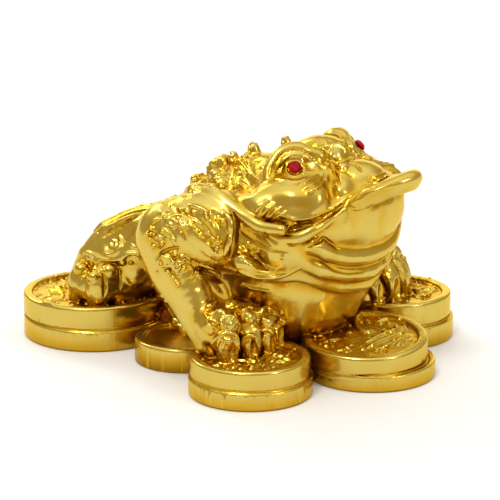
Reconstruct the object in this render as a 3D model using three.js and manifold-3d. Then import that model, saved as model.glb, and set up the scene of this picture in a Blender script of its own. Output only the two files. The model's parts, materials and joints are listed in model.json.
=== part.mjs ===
// A three-legged toad resting on piled coins, cast in one piece, with two red eye stones.
// Millimetres, +Z up. The toad looks along -Y, +X is its left side.
// The casting is worked like clay: soft forms are added and cut on a grid of distances,
// the skin is drawn through it, thinned, and joined to coins turned on a lathe.
import * as THREE from 'three';
import { mergeVertices, toCreasedNormals } from 'three/addons/utils/BufferGeometryUtils.js';
import Module from 'manifold-3d';

const wasm = await Module();
wasm.setup();

const EYE = { x: 15.2, y: -28.2, z: 55.1, radius: 1.7, stoneForward: 0.1, stoneUp: 0.4 };

const CELL = 1.0;
const HEADROOM = 11;
const ROOM_LOW = [-48, -60, -8];
const ROOM_HIGH = [48, 62, EYE.z + HEADROOM];
const TOAD_TRIANGLES = 5400;
const FLAT_ENOUGH = 1e-4;
const COIN_SIDES = 32;
const THIN_COIN_SIDES = 28;
const RIM_WIDTH = 2.4;
const RECESS = 0.9;
const EDGE = 0.6;
const GAP = 0.3;
const SLIVER = 1e-3;
const SEAM_SHARE = 0.46;
const LOWER_EDGE = 0.5;
const LOWER_INSET = 0.1;
const STROKE = { height: 1.4, sunk: 0.5, width: 1.1, length: 3.4, spacing: 2.2, stagger: 0.8 };
const FRAME_BAR = 1;
const FOOT_CUT = 0.6;
const CUTTER = { depth: 10, radius: 90, sides: 8 };
const STRING_RADIUS = 1.4;
const OVERLAP = 0.02;
const LEAN_SINK = 2.2;

// every coin: middle, radius, height of the top there, layers, shift of the lower coin,
// and for a coin that leans, how much its top climbs per millimetre along x and y
const COINS = {
  rightFoot: { x: -30.3, y: -25.3, radius: 15.1, top: 10.1, layers: 2, shift: [0.2, 0] },
  leftFoot: { x: 32.6, y: -28.2, radius: 15.4, top: 12.4, layers: 2, shift: [0.2, -0.2] },
  front: {
    x: -1.0, y: -40.4, radius: 16.2, top: 10.7, layers: 2, shift: [1.3, -1.0], lean: [0.079, 0.056],
  },
  rightSide: { x: -17.6, y: 4.5, radius: 13.1, top: 6.4, layers: 1, shift: [0, 0] },
  leftSide: { x: 17.6, y: 4.5, radius: 13.6, top: 6.4, layers: 1, shift: [0, 0] },
  leftRear: { x: 11.5, y: 26.5, radius: 13.6, top: 6.4, layers: 1, shift: [0, 0] },
  rear: { x: -12.5, y: 38.8, radius: 19.1, top: 12.0, layers: 2, shift: [0.4, -0.3] },
};
const BASE = { x: 0, y: -12, radius: 26, top: 6.0 };
// half the sideways difference between the left and right coins: the part is centred by it
const CENTRE_X = 1.25;

const TOES = {
  right: {
    side: -1,
    toes: [
      [[-35.0, -20.0, 16.6], [-36.0, -22.4, 9.6], 3.3],
      [[-28.4, -22.2, 16.4], [-29.6, -24.9, 9.6], 3.1],
      [[-22.9, -23.2, 15.8], [-24.0, -26.2, 9.6], 2.8],
      [[-18.4, -22.8, 15.6], [-19.0, -25.4, 9.6], 2.4],
    ],
  },
  left: {
    side: 1,
    toes: [
      [[37.6, -24.8, 18.2], [39.2, -27.8, 12.6], 2.8],
      [[32.0, -28.0, 19.2], [33.0, -31.2, 12.6], 2.8],
      [[25.9, -28.6, 20.0], [26.6, -31.8, 12.6], 2.7],
      [[20.5, -27.0, 19.0], [20.8, -30.4, 12.6], 2.4],
    ],
  },
};

function softMin(a, b, blend) {
  if (blend <= 0) return Math.min(a, b);
  const near = Math.max(blend - Math.abs(a - b), 0);
  return Math.min(a, b) - (near * near * 0.25) / blend;
}

// a block of clay: one distance to the skin for every grid point, negative inside
class Clay {
  constructor(low, high, cell) {
    this.low = low;
    this.cell = cell;
    this.count = low.map((value, axis) => Math.ceil((high[axis] - value) / cell) + 1);
    this.field = new Float32Array(this.count[0] * this.count[1] * this.count[2]).fill(12);
  }

  index(i, j, k) {
    return (i * this.count[1] + j) * this.count[2] + k;
  }

  work(form, blend, sign) {
    const margin = blend + 2.5 * this.cell + 0.5;
    const from = [];
    const to = [];
    for (let axis = 0; axis < 3; axis++) {
      const low = Math.floor((form.low[axis] - margin - this.low[axis]) / this.cell);
      const high = Math.ceil((form.high[axis] + margin - this.low[axis]) / this.cell);
      from.push(Math.max(low, 0));
      to.push(Math.min(high, this.count[axis] - 1));
    }
    for (let i = from[0]; i <= to[0]; i++) {
      const x = this.low[0] + i * this.cell;
      for (let j = from[1]; j <= to[1]; j++) {
        const y = this.low[1] + j * this.cell;
        for (let k = from[2]; k <= to[2]; k++) {
          const at = this.index(i, j, k);
          const distance = form.distance(x, y, this.low[2] + k * this.cell);
          this.field[at] = sign * softMin(sign * this.field[at], distance, blend);
        }
      }
    }
  }

  add(form, blend = 0) {
    this.work(form, blend, 1);
  }

  cut(form, blend = 0) {
    this.work(form, blend, -1);
  }

  sample(point) {
    const cell = [0, 0, 0];
    const part = [0, 0, 0];
    for (let axis = 0; axis < 3; axis++) {
      const place = (point[axis] - this.low[axis]) / this.cell;
      const clamped = Math.min(Math.max(place, 0), this.count[axis] - 1.001);
      cell[axis] = Math.floor(clamped);
      part[axis] = clamped - cell[axis];
    }
    let sum = 0;
    for (let corner = 0; corner < 8; corner++) {
      const step = [corner & 1, (corner >> 1) & 1, (corner >> 2) & 1];
      let weight = 1;
      for (let axis = 0; axis < 3; axis++) weight *= step[axis] ? part[axis] : 1 - part[axis];
      sum += weight * this.field[this.index(cell[0] + step[0], cell[1] + step[1], cell[2] + step[2])];
    }
    return sum;
  }

  slope(point) {
    const reach = 0.8 * this.cell;
    return [0, 1, 2].map((axis) => {
      const ahead = point.slice();
      const behind = point.slice();
      ahead[axis] += reach;
      behind[axis] -= reach;
      return (this.sample(ahead) - this.sample(behind)) / (2 * reach);
    });
  }

  // moves a point that is near the skin onto it, then sinks it by the given depth
  settle(point, sink = 0) {
    let place = point.slice();
    let slope = [0, 0, 1];
    for (let round = 0; round < 6; round++) {
      const distance = this.sample(place);
      slope = this.slope(place);
      const steepness = slope[0] ** 2 + slope[1] ** 2 + slope[2] ** 2;
      if (steepness < 0.0025) break;
      const step = Math.max(Math.min(distance / steepness, 2), -2);
      place = place.map((value, axis) => value - slope[axis] * step);
    }
    const length = Math.hypot(...slope) || 1;
    return place.map((value, axis) => value - (slope[axis] / length) * sink);
  }
}

function ball(centre, radius) {
  const [cx, cy, cz] = centre;
  return {
    low: centre.map((value) => value - radius),
    high: centre.map((value) => value + radius),
    distance: (x, y, z) => Math.hypot(x - cx, y - cy, z - cz) - radius,
  };
}

// an ellipsoid, turned by degrees about x, then y, then z
function egg(centre, radii, turn = [0, 0, 0]) {
  const [rx, ry, rz] = turn.map((value) => THREE.MathUtils.degToRad(value));
  const matrix = new THREE.Matrix4().makeRotationFromEuler(new THREE.Euler(rx, ry, rz, 'ZYX'));
  const m = matrix.elements;
  const axes = [[m[0], m[1], m[2]], [m[4], m[5], m[6]], [m[8], m[9], m[10]]];
  const half = [0, 1, 2].map((row) => Math.hypot(...axes.map((axis, k) => axis[row] * radii[k])));
  return {
    low: centre.map((value, axis) => value - half[axis]),
    high: centre.map((value, axis) => value + half[axis]),
    distance: (x, y, z) => {
      const dx = x - centre[0];
      const dy = y - centre[1];
      const dz = z - centre[2];
      let near = 0;
      let steep = 0;
      for (let k = 0; k < 3; k++) {
        const along = dx * axes[k][0] + dy * axes[k][1] + dz * axes[k][2];
        near += (along / radii[k]) ** 2;
        steep += (along / radii[k] ** 2) ** 2;
      }
      near = Math.max(Math.sqrt(near), 1e-4);
      steep = Math.max(Math.sqrt(steep), 1e-5);
      return (near * (near - 1)) / steep;
    },
  };
}

// a smooth curve through rows of x, y, z, radius
function smoothRows(rows, steps) {
  const last = rows.length - 1;
  const before = rows[0].map((value, k) => 2 * value - rows[1][k]);
  const after = rows[last].map((value, k) => 2 * value - rows[last - 1][k]);
  const all = [before, ...rows, after];
  const out = [];
  for (let i = 1; i <= last; i++) {
    for (let step = 0; step < steps; step++) {
      const t = step / steps;
      out.push(rows[0].map((_, k) => {
        const [a, b, c, d] = [all[i - 1][k], all[i][k], all[i + 1][k], all[i + 2][k]];
        const square = (2 * a - 5 * b + 4 * c - d) * t * t;
        const cube = (-a + 3 * b - 3 * c + d) * t * t * t;
        return 0.5 * (2 * b + (c - a) * t + square + cube);
      }));
    }
  }
  out.push(rows[last]);
  return out;
}

// a round limb that follows rows of x, y, z, radius
function limb(rows, steps = 4) {
  const path = rows.length > 2 ? smoothRows(rows, steps) : rows;
  const edge = (axis, sign) => Math.max(...path.map((row) => sign * row[axis] + row[3])) * sign;
  return {
    low: [0, 1, 2].map((axis) => edge(axis, -1)),
    high: [0, 1, 2].map((axis) => edge(axis, 1)),
    distance: (x, y, z) => {
      let best = Infinity;
      for (let i = 0; i + 1 < path.length; i++) {
        const a = path[i];
        const b = path[i + 1];
        const ux = b[0] - a[0];
        const uy = b[1] - a[1];
        const uz = b[2] - a[2];
        const length = ux * ux + uy * uy + uz * uz || 1e-9;
        const along = ((x - a[0]) * ux + (y - a[1]) * uy + (z - a[2]) * uz) / length;
        const t = Math.min(Math.max(along, 0), 1);
        const away = Math.hypot(x - a[0] - t * ux, y - a[1] - t * uy, z - a[2] - t * uz);
        best = Math.min(best, away - a[3] - t * (b[3] - a[3]));
      }
      return best;
    },
  };
}

const mirror = (row) => [-row[0], ...row.slice(1)];
const bothWays = (rows) => [...rows, ...rows.slice(0, -1).map(mirror).reverse()];

// a line worked into or onto the skin near the given points
function ridge(clay, points, radius, { sink = 0.3, blend = 0.6, cut = false } = {}) {
  const rows = points.map((point, i) => {
    const t = i / (points.length - 1);
    const taper = 1 - 0.45 * Math.abs(2 * t - 1) ** 3;
    return [...clay.settle(point, sink * radius), radius * taper];
  });
  if (cut) clay.cut(limb(rows, 3), blend);
  else clay.add(limb(rows, 3), blend);
}

function makeBody(clay) {
  clay.add(egg([0, -16, 24.5], [22, 22, 20.5]));
  clay.add(egg([0, -8, 32], [24, 25, 18], [-14, 0, 0]), 6);
  clay.add(egg([-1, 4, 27], [17, 14, 13.5], [-24, 0, 0]), 5);
  clay.add(limb([[0, -16, 47, 7], [0, -6, 45.2, 7], [0, 1, 40.2, 7], [-1, 7, 32, 6.5]]), 6);
  for (const s of [-1, 1]) clay.add(egg([s * 19.5, -28.5, 37], [8, 7, 9]), 4);
  clay.add(egg([0, -31, 36], [17, 11, 10]), 3);
  clay.add(egg([2, 8, 4], [15, 18, 9]), 2);
}

function makeRearLeg(clay) {
  const thigh = [[-2, 11, 28.5, 11.5], [-6, 21, 27, 10], [-10, 30.5, 23, 9.3], [-11.5, 35.4, 18.5, 8.3]];
  clay.add(limb(thigh), 5);
  for (const shift of [-3, 1.5, 5.5]) {
    const groove = [
      [-13 + shift, 16, 38 + 0.4 * shift],
      [-16 + shift, 25, 34 + 0.4 * shift],
      [-18 + shift, 34, 28 + 0.3 * shift],
    ];
    ridge(clay, groove, 0.7, { sink: -0.3, blend: 0.8, cut: true });
  }
  const ankle = [
    [-11, 42.5, 21.5, 1.2], [-16, 38.8, 22.4, 1.4], [-18.9, 33, 22.5, 1.4],
    [-18.3, 28, 23.5, 1.2], [-16.2, 24, 25, 1],
  ];
  clay.add(limb(ankle), 1.5);
  const instep = [
    [-12, 41, 15.5, 4.4], [-18.5, 37, 15.5, 4.4], [-20.6, 31.2, 15.8, 4.4],
    [-15.5, 28.8, 16, 4.4], [-9.8, 26, 17, 4.8], [-3.5, 22, 17.6, 5],
  ];
  clay.add(limb(instep), 2);
  const sole = [[-15.5, 27.5, 12.5, 2.4], [-11, 26, 12.3, 2.6], [-5.5, 25, 12.2, 2.6]];
  clay.add(limb(sole), 1.5);
  clay.add(egg([-13.3, 24.3, 20], [3.9, 3.9, 5]), 0.6);
  const toes = [
    [[-11.5, 41.0, 18.0], [-13.0, 42.0, 12.5], 3.2],
    [[-19.5, 36.5, 18.0], [-21.0, 37.5, 12.2], 3.2],
    [[-20.8, 30.3, 18.0], [-21.8, 30.0, 12.2], 3.4],
  ];
  for (const [knuckle, tip, radius] of toes) {
    const root = [knuckle[0] + 6, knuckle[1] - 2, knuckle[2] + 0.5, radius];
    clay.add(limb([root, [...knuckle, radius + 0.2], [...tip, radius * 0.8]]), 1);
  }
}

// a point by the eye: forward along the lid, up, and out, from the middle of the stone
function eyePoint(s, forward, up, out) {
  return [
    s * (EYE.x - 0.625 * forward - 0.5 * up + 0.6 * out),
    EYE.y - 0.781 * forward + 0.4 * up - 0.48 * out,
    EYE.z + 0.769 * up + 0.64 * out,
  ];
}

function eyeArc(s, rows) {
  return limb(rows.map(([forward, up, out, radius]) => [...eyePoint(s, forward, up, out), radius]));
}

const BROW = [
  [9, 2, -4.4, 0.9], [5.5, 5, -2.9, 1.5], [1, 6, -2.2, 1.9],
  [-3.3, 4.9, -1.7, 1.7], [-6.3, 0.5, -2.3, 1.5], [-6.6, -2.5, -3.2, 0.9],
];
const UPPER_LID = [
  [8.2, 1.4, -3.4, 0.5], [5.4, 3.2, -2.2, 0.75], [2.4, 4.2, -1.3, 0.8],
  [-0.9, 4, -1.2, 0.8], [-3.5, 2.1, -1.5, 0.8], [-5, -1.1, -2.7, 0.6],
];
const LOWER_LID = [
  [7.8, 0.8, -3.4, 0.5], [5, -1.6, -2.2, 0.7], [0.8, -3.2, -1, 0.8],
  [-3, -2.4, -1.6, 0.7], [-5, -1.2, -2.8, 0.5],
];
const EYE_BAG = [
  [8, -1.2, -3.9, 0.5], [5, -3.6, -2.6, 0.8], [0.8, -5, -1.8, 0.9], [-3, -4.2, -2.2, 0.7],
];

function makeEye(clay, s) {
  clay.add(ball(eyePoint(s, -0.5, 0.5, -9.2), 7.6), 1.5);
  clay.add(ball(eyePoint(s, 0, 0, -5.4), 5.2), 0.6);
  clay.add(egg([s * 9.6, -24.3, 56.4], [3.4, 4.6, 4], [-14, 0, 0]), 1.2);
  clay.add(ball(eyePoint(s, 4.4, 0.4, -5.2), 3.9), 0.8);
  clay.add(eyeArc(s, BROW), 0.9);
  clay.add(eyeArc(s, UPPER_LID), 0.4);
  clay.add(eyeArc(s, LOWER_LID), 0.4);
  clay.add(eyeArc(s, EYE_BAG), 0.5);
}

function makeHead(clay) {
  clay.add(egg([0, -25.5, 45.4], [24, 18, 8.6], [-4, 0, 0]), 4);
  clay.add(egg([0, -36.6, 48], [10.5, 8.4, 4.4], [-2, 0, 0]), 2.5);
  clay.add(egg([0, -25, 53.5], [6.8, 9.5, 6.7], [-18, 0, 0]), 2);
  clay.add(egg([0, -37, 50.9], [8, 7.5, 4.6]), 1.5);
  for (const s of [-1, 1]) {
    clay.add(egg([s * 15.6, -29.5, 45.2], [9.7, 10, 5.3], [0, 0, s * 12]), 2);
    clay.add(egg([s * 22.9, -23.8, 45.9], [5, 5.8, 4.9]), 1.5);
    clay.add(egg([s * 8, -37.8, 47.8], [4.8, 5, 3.8]), 1.2);
    clay.add(egg([s * 6, -32.8, 51.2], [3.8, 4.5, 3.2]), 1.2);
    makeEye(clay, s);
    clay.add(ball([s * 5.6, -36.3, 54.2], 1.5), 0.5);
    const muzzleLine = [[s * 7, -33, 55], [s * 8.2, -36, 53.5], [s * 11, -38.5, 52], [s * 13, -40, 50]];
    ridge(clay, muzzleLine, 0.7, { sink: -0.2, blend: 0.8, cut: true });
    const crownLine = [[s * 6.5, -18, 59], [s * 5.8, -25, 58.5], [s * 5, -31, 56]];
    ridge(clay, crownLine, 0.9, { sink: -0.1, blend: 1.5, cut: true });
  }
  clay.add(egg([-15.4, -28.8, 49.5], [8.7, 8.8, 3.9]), 2.5);
}

function makeMouth(clay) {
  clay.add(egg([0, -33.6, 41], [19, 12.9, 9.6], [-5, 0, 0]), 3);
  clay.add(egg([0, -34.4, 45], [16, 11.9, 5]), 3);
  const rightLip = [
    [-24.5, -30, 39.6, 1.4], [-24.5, -35, 40.2, 1.6], [-21.5, -38.5, 42.3, 1.6],
    [-15.8, -39.8, 44.8, 1.4], [-12.2, -41, 46.2, 1.0],
  ];
  clay.add(limb(rightLip), 1.2);
  const leftLip = [
    [23.5, -29.5, 39.6, 1.4], [22.5, -34.2, 40.4, 1.4], [19.2, -37.6, 43, 1.2], [14, -39, 44.8, 0.8],
  ];
  clay.add(limb(leftLip), 1.2);
  const ledge = [
    [-11, -43.5, 48.2, 1.6], [-7.5, -47.5, 50.2, 1.8], [-3.5, -51.8, 52.3, 1.9], [0, -53, 53, 1.9],
  ];
  clay.add(limb(bothWays(ledge)), 0.8);
  const underLedge = ledge.map(([x, y, z, radius]) => [0.97 * x, y + 0.9, z - 1.6, radius]);
  clay.add(limb(bothWays(underLedge)), 1.2);
  clay.add(limb([[0, -42, 48.8, 2], [0, -51.5, 52.2, 1.9]]), 1.5);
  clay.add(egg([0, -46.4, 50], [10.5, 7.2, 1.7], [-27, 0, 0]), 1.2);
  clay.add(limb([[-6, -44, 49.2, 1.6], [0, -47, 50.5, 1.8], [6, -44, 49.2, 1.6]]), 2);
  const gap = [
    [-24.8, -29.5, 43.1, 0.9], [-25.5, -34, 43.2, 1.2], [-22.5, -38.2, 45, 1.3],
    [-16.5, -41.4, 47.7, 1.3], [-9, -44, 50.7, 1], [-3, -45.9, 52, 0.8], [0, -46.5, 52.4, 0.8],
  ];
  clay.cut(limb(bothWays(gap)), 0.5);
}

function makeThroat(clay) {
  const folds = [
    [[-19.5, -36, 37.5, 2.2], [-14, -39, 34.5, 2.2], [-7, -41.5, 32.5, 2.2], [0, -42.5, 32.2, 2.2]],
    [[-21, -32.5, 34, 2.3], [-15.5, -36.5, 30.5, 2.3], [-8, -39.5, 28.2, 2.3], [0, -41, 27.6, 2.3]],
    [
      [-31, -23.5, 33.5, 2.1], [-27, -26.5, 30.5, 2.1], [-22.5, -29.5, 29.5, 2.1], [-19, -32, 29.3, 2.1],
      [-13, -35.3, 26.5, 2.1], [-6, -38, 24.3, 2.1], [0, -39, 23.8, 2.1],
    ],
  ];
  for (const fold of folds) clay.add(limb(bothWays(fold)), 1.5);
}

function makeArm(clay, { side: s, toes }) {
  clay.add(limb([[s * 21, -17, 37.5, 10], [s * 26.5, -11, 39, 10.3], [s * 32, -3, 38.3, 8.6]]), 3);
  const forearm = [
    [s * 33, -2, 37, 8], [s * 33.5, -5, 30, 7.2], [s * 33.2, -9.5, 22, 5.6], [s * 33, -13, 16.5, 4.8],
  ];
  clay.add(limb(forearm), 1.5);
  const cord = [
    [s * 21, 1, 44.5, 1.5], [s * 25.5, -5, 48, 2.1], [s * 27.5, -13, 48.3, 2],
    [s * 28, -20, 45.3, 1.75], [s * 28.4, -27, 42.8, 1.6], [s * 27.8, -33, 42.6, 1.5],
  ];
  clay.add(limb(cord), 0.8);
  const shoulderBlade = [[s * 22, -1.5, 43, 2.6], [s * 19, 0, 36, 5]];
  clay.add(limb(shoulderBlade), 2);
  const innerLine = [[s * 30, -19.5, 47], [s * 31.5, -21.5, 42], [s * 31, -21.5, 36]];
  ridge(clay, innerLine, 1.1, { sink: -0.2, blend: 0.8, cut: true });
  const outerLine = [[s * 41.5, -2.5, 36.5], [s * 41.5, -7.5, 36.5], [s * 40, -12, 37]];
  ridge(clay, outerLine, 0.8, { sink: -0.3, blend: 0.8, cut: true });
  makeFoot(clay, s, toes);
}

function makeFoot(clay, s, toes) {
  const wrist = [s * 32, -12.5, 16.5];
  const heel = [s * 33.2, -15.5, 10.5];
  clay.add(limb([[...wrist, 4.6], [...heel, 3.8]]), 1.5);
  const palm = [0, 1, 2].map((axis) => toes.reduce((sum, toe) => sum + toe[0][axis] / toes.length, 0));
  clay.add(egg([palm[0] + 2.5 * s, palm[1] + 4.5, palm[2] + 0.5], [9.5, 5.5, 5.2]), 1.5);
  toes.forEach(([knuckle, tip, radius], i) => {
    const blend = (a, b, share) => a.map((value, axis) => value * (1 - share) + b[axis] * share);
    const middle = blend(wrist, knuckle, 0.55);
    const bend = blend(knuckle, tip, 0.6);
    const path = [
      [...wrist, radius * 0.9],
      [middle[0], middle[1], middle[2] + 1.5, radius * 0.9],
      [...knuckle, radius],
      [bend[0], bend[1] - 0.7, bend[2] + 0.4, radius * 0.92],
      [...tip, radius * 0.75],
    ];
    clay.add(limb(path, 3), 0.5);
    clay.add(ball([knuckle[0] + 0.3 * s, knuckle[1] + 0.2, knuckle[2] + radius * 0.95], 2 - 0.1 * i), 0.3);
  });
}

// a knotted string hangs from the rear leg and lies down to the coin beside it
function makeString(clay) {
  const points = [
    [-8.6, 20.4, 15], [-6.6, 20.3, 11.5], [-5.4, 20, 9.4], [-7.1, 18, 9], [-9.2, 15.3, 8.6],
    [-10.4, 13.5, 8.1], [-11.8, 11.1, 7.2], [-12.5, 8.6, 6], [-12.6, 7.9, 5.6],
  ];
  clay.add(limb(points.map((point) => [...point, STRING_RADIUS])), 0.5);
}

// round knobs down the back: each rests on the skin and is joined on after thinning
const KNOBS = [
  [-4, 10, 43, 2.1], [0, -4.5, 53, 1.6], [0.5, 1.5, 50, 1.4], [-9, -1, 49, 1.7], [9, -2, 49, 1.7],
  [-8, -11, 53, 1.5], [8, -10, 53, 1.5], [4, 8, 44, 1.8], [1, -14, 56, 1.3],
];

function makeKnobs(clay) {
  return KNOBS.map(([x, y, z, radius]) => {
    const geometry = new THREE.IcosahedronGeometry(radius + 0.2, 1);
    geometry.translate(...clay.settle([x, y, z], -0.3 * radius));
    return solidFromGeometry(geometry);
  });
}

// the six tetrahedra of a grid cell, as paths from its low corner to its high corner
const CORNER_PATHS = [[1, 3], [1, 5], [2, 3], [2, 6], [4, 5], [4, 6]].map(([a, b]) => [0, a, b, 7]);

// draws the skin of the clay as a closed triangle mesh
function drawSkin(clay) {
  const [nx, ny, nz] = clay.count;
  const stride = [ny * nz, nz, 1];
  const corner = (c) => [c & 1, (c >> 1) & 1, (c >> 2) & 1];
  const offset = (c) => corner(c).reduce((sum, step, axis) => sum + step * stride[axis], 0);
  const found = new Int32Array(nx * ny * nz * 7).fill(-1);
  const points = [];
  const faces = [];
  const value = (at) => (Math.abs(clay.field[at]) < 1e-3 ? 1e-3 : clay.field[at]);

  function crossing(base, low, high) {
    const lowAt = base + offset(low);
    const key = lowAt * 7 + ((high ^ low) - 1);
    if (found[key] >= 0) return found[key];
    const a = value(lowAt);
    const b = value(base + offset(high));
    const t = Math.min(Math.max(a / (a - b), 0.04), 0.96);
    const i = Math.floor(lowAt / stride[0]);
    const j = Math.floor((lowAt % stride[0]) / stride[1]);
    const k = lowAt % stride[1];
    const step = high ^ low;
    points.push([
      clay.low[0] + (i + t * (step & 1)) * clay.cell,
      clay.low[1] + (j + t * ((step >> 1) & 1)) * clay.cell,
      clay.low[2] + (k + t * ((step >> 2) & 1)) * clay.cell,
    ]);
    found[key] = points.length - 1;
    return found[key];
  }

  function addFace(a, b, c, outward) {
    const [p, q, r] = [points[a], points[b], points[c]];
    const u = q.map((v, axis) => v - p[axis]);
    const w = r.map((v, axis) => v - p[axis]);
    const normal = [u[1] * w[2] - u[2] * w[1], u[2] * w[0] - u[0] * w[2], u[0] * w[1] - u[1] * w[0]];
    const facing = normal[0] * outward[0] + normal[1] * outward[1] + normal[2] * outward[2];
    if (facing > 0) faces.push([a, b, c]);
    else faces.push([a, c, b]);
  }

  for (let i = 0; i + 1 < nx; i++) {
    for (let j = 0; j + 1 < ny; j++) {
      for (let k = 0; k + 1 < nz; k++) {
        const base = clay.index(i, j, k);
        let inside = 0;
        for (let c = 0; c < 8; c++) if (value(base + offset(c)) < 0) inside++;
        if (inside === 0 || inside === 8) continue;
        for (const path of CORNER_PATHS) {
          const within = path.filter((c) => value(base + offset(c)) < 0);
          const without = path.filter((c) => value(base + offset(c)) >= 0);
          if (within.length === 0 || without.length === 0) continue;
          const outward = [0, 0, 0];
          for (const c of without) corner(c).forEach((v, axis) => { outward[axis] += v / without.length; });
          for (const c of within) corner(c).forEach((v, axis) => { outward[axis] -= v / within.length; });
          const cross = (a, b) => crossing(base, Math.min(a, b), Math.max(a, b));
          if (within.length === 1) addFace(...without.map((c) => cross(within[0], c)), outward);
          if (without.length === 1) addFace(...within.map((c) => cross(without[0], c)), outward);
          if (within.length === 2) {
            const [a, b] = within;
            const [c, d] = without;
            const ring = [cross(a, c), cross(a, d), cross(b, d), cross(b, c)];
            addFace(ring[0], ring[1], ring[2], outward);
            addFace(ring[0], ring[2], ring[3], outward);
          }
        }
      }
    }
  }
  return largestShell(points, faces);
}

function largestShell(points, faces) {
  const parent = points.map((_, i) => i);
  const root = (i) => {
    while (parent[i] !== i) {
      parent[i] = parent[parent[i]];
      i = parent[i];
    }
    return i;
  };
  for (const [a, b, c] of faces) {
    parent[root(a)] = root(b);
    parent[root(b)] = root(c);
  }
  const size = new Map();
  for (const face of faces) size.set(root(face[0]), (size.get(root(face[0])) || 0) + 1);
  const main = [...size.entries()].sort((a, b) => b[1] - a[1])[0][0];
  return { points, faces: faces.filter((face) => root(face[0]) === main) };
}

// thins a closed mesh by collapsing the edges that matter least to its form
class Thinner {
  constructor({ points, faces }) {
    this.points = points;
    this.faces = faces;
    this.alive = faces.length;
    this.around = points.map(() => []);
    this.stamp = new Int32Array(points.length);
    this.quadric = points.map(() => new Float64Array(10));
    faces.forEach((face, at) => {
      const plane = this.plane(face);
      for (const vertex of face) {
        this.around[vertex].push(at);
        this.addPlane(this.quadric[vertex], plane);
      }
    });
    this.heap = [];
    faces.forEach(([a, b, c]) => {
      if (a < b) this.offer(a, b);
      if (b < c) this.offer(b, c);
      if (c < a) this.offer(c, a);
    });
  }

  plane([a, b, c]) {
    const [p, q, r] = [this.points[a], this.points[b], this.points[c]];
    const ux = q[0] - p[0];
    const uy = q[1] - p[1];
    const uz = q[2] - p[2];
    const wx = r[0] - p[0];
    const wy = r[1] - p[1];
    const wz = r[2] - p[2];
    const nx = uy * wz - uz * wy;
    const ny = uz * wx - ux * wz;
    const nz = ux * wy - uy * wx;
    const size = Math.hypot(nx, ny, nz) || 1e-12;
    const d = -(nx * p[0] + ny * p[1] + nz * p[2]) / size;
    return [nx / size, ny / size, nz / size, d, size / 2];
  }

  addPlane(q, [a, b, c, d, area]) {
    q[0] += a * a * area;
    q[1] += a * b * area;
    q[2] += a * c * area;
    q[3] += a * d * area;
    q[4] += b * b * area;
    q[5] += b * c * area;
    q[6] += b * d * area;
    q[7] += c * c * area;
    q[8] += c * d * area;
    q[9] += d * d * area;
  }

  error(q, [x, y, z]) {
    return q[0] * x * x + 2 * q[1] * x * y + 2 * q[2] * x * z + 2 * q[3] * x
      + q[4] * y * y + 2 * q[5] * y * z + 2 * q[6] * y + q[7] * z * z + 2 * q[8] * z + q[9];
  }

  best(a, b) {
    const q = this.quadric[a].map((value, k) => value + this.quadric[b][k]);
    const middle = this.points[a].map((value, axis) => (value + this.points[b][axis]) / 2);
    const choices = [this.points[a], this.points[b], middle];
    const minorA = q[4] * q[7] - q[5] * q[5];
    const minorB = q[1] * q[7] - q[5] * q[2];
    const minorC = q[1] * q[5] - q[4] * q[2];
    const det = q[0] * minorA - q[1] * minorB + q[2] * minorC;
    const scale = (q[0] + q[4] + q[7]) / 3;
    if (Math.abs(det) > 1e-4 * scale ** 3) {
      const [rx, ry, rz] = [-q[3], -q[6], -q[8]];
      const x = (rx * minorA - q[1] * (ry * q[7] - q[5] * rz) + q[2] * (ry * q[5] - q[4] * rz)) / det;
      const y = (q[0] * (ry * q[7] - rz * q[5]) - rx * minorB + q[2] * (q[1] * rz - ry * q[2])) / det;
      const z = (q[0] * (q[4] * rz - q[5] * ry) - q[1] * (q[1] * rz - ry * q[2]) + rx * minorC) / det;
      const reach = Math.hypot(x - middle[0], y - middle[1], z - middle[2]);
      if (reach < 3) choices.push([x, y, z]);
    }
    let pick = choices[0];
    let cost = Infinity;
    for (const choice of choices) {
      const error = this.error(q, choice);
      if (error < cost) {
        cost = error;
        pick = choice;
      }
    }
    const length = Math.hypot(...this.points[a].map((value, axis) => value - this.points[b][axis]));
    return { cost: Math.max(cost, 0) + 1e-6 * length * length, pick: pick.slice() };
  }

  offer(a, b) {
    const { cost, pick } = this.best(a, b);
    this.push({ a, b, cost, pick, stampA: this.stamp[a], stampB: this.stamp[b] });
  }

  push(entry) {
    const heap = this.heap;
    let at = heap.length;
    heap.push(entry);
    while (at > 0) {
      const up = (at - 1) >> 1;
      if (heap[up].cost <= heap[at].cost) break;
      [heap[up], heap[at]] = [heap[at], heap[up]];
      at = up;
    }
  }

  pop() {
    const heap = this.heap;
    const top = heap[0];
    const tail = heap.pop();
    if (heap.length === 0) return top;
    heap[0] = tail;
    let at = 0;
    for (;;) {
      const left = 2 * at + 1;
      let least = at;
      if (left < heap.length && heap[left].cost < heap[least].cost) least = left;
      if (left + 1 < heap.length && heap[left + 1].cost < heap[least].cost) least = left + 1;
      if (least === at) return top;
      [heap[least], heap[at]] = [heap[at], heap[least]];
      at = least;
    }
  }

  neighbours(vertex) {
    const out = new Set();
    for (const at of this.around[vertex]) {
      for (const other of this.faces[at]) if (other !== vertex) out.add(other);
    }
    return out;
  }

  // a collapse is safe when it keeps the mesh closed and turns no face over
  safe(a, b, pick) {
    const nearA = this.neighbours(a);
    const nearB = this.neighbours(b);
    let shared = 0;
    for (const vertex of nearA) if (nearB.has(vertex)) shared++;
    if (shared !== 2) return false;
    for (const [vertex, other] of [[a, b], [b, a]]) {
      for (const at of this.around[vertex]) {
        const face = this.faces[at];
        if (!face.includes(other) && this.spoils(face, vertex, pick)) return false;
      }
    }
    return true;
  }

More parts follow.
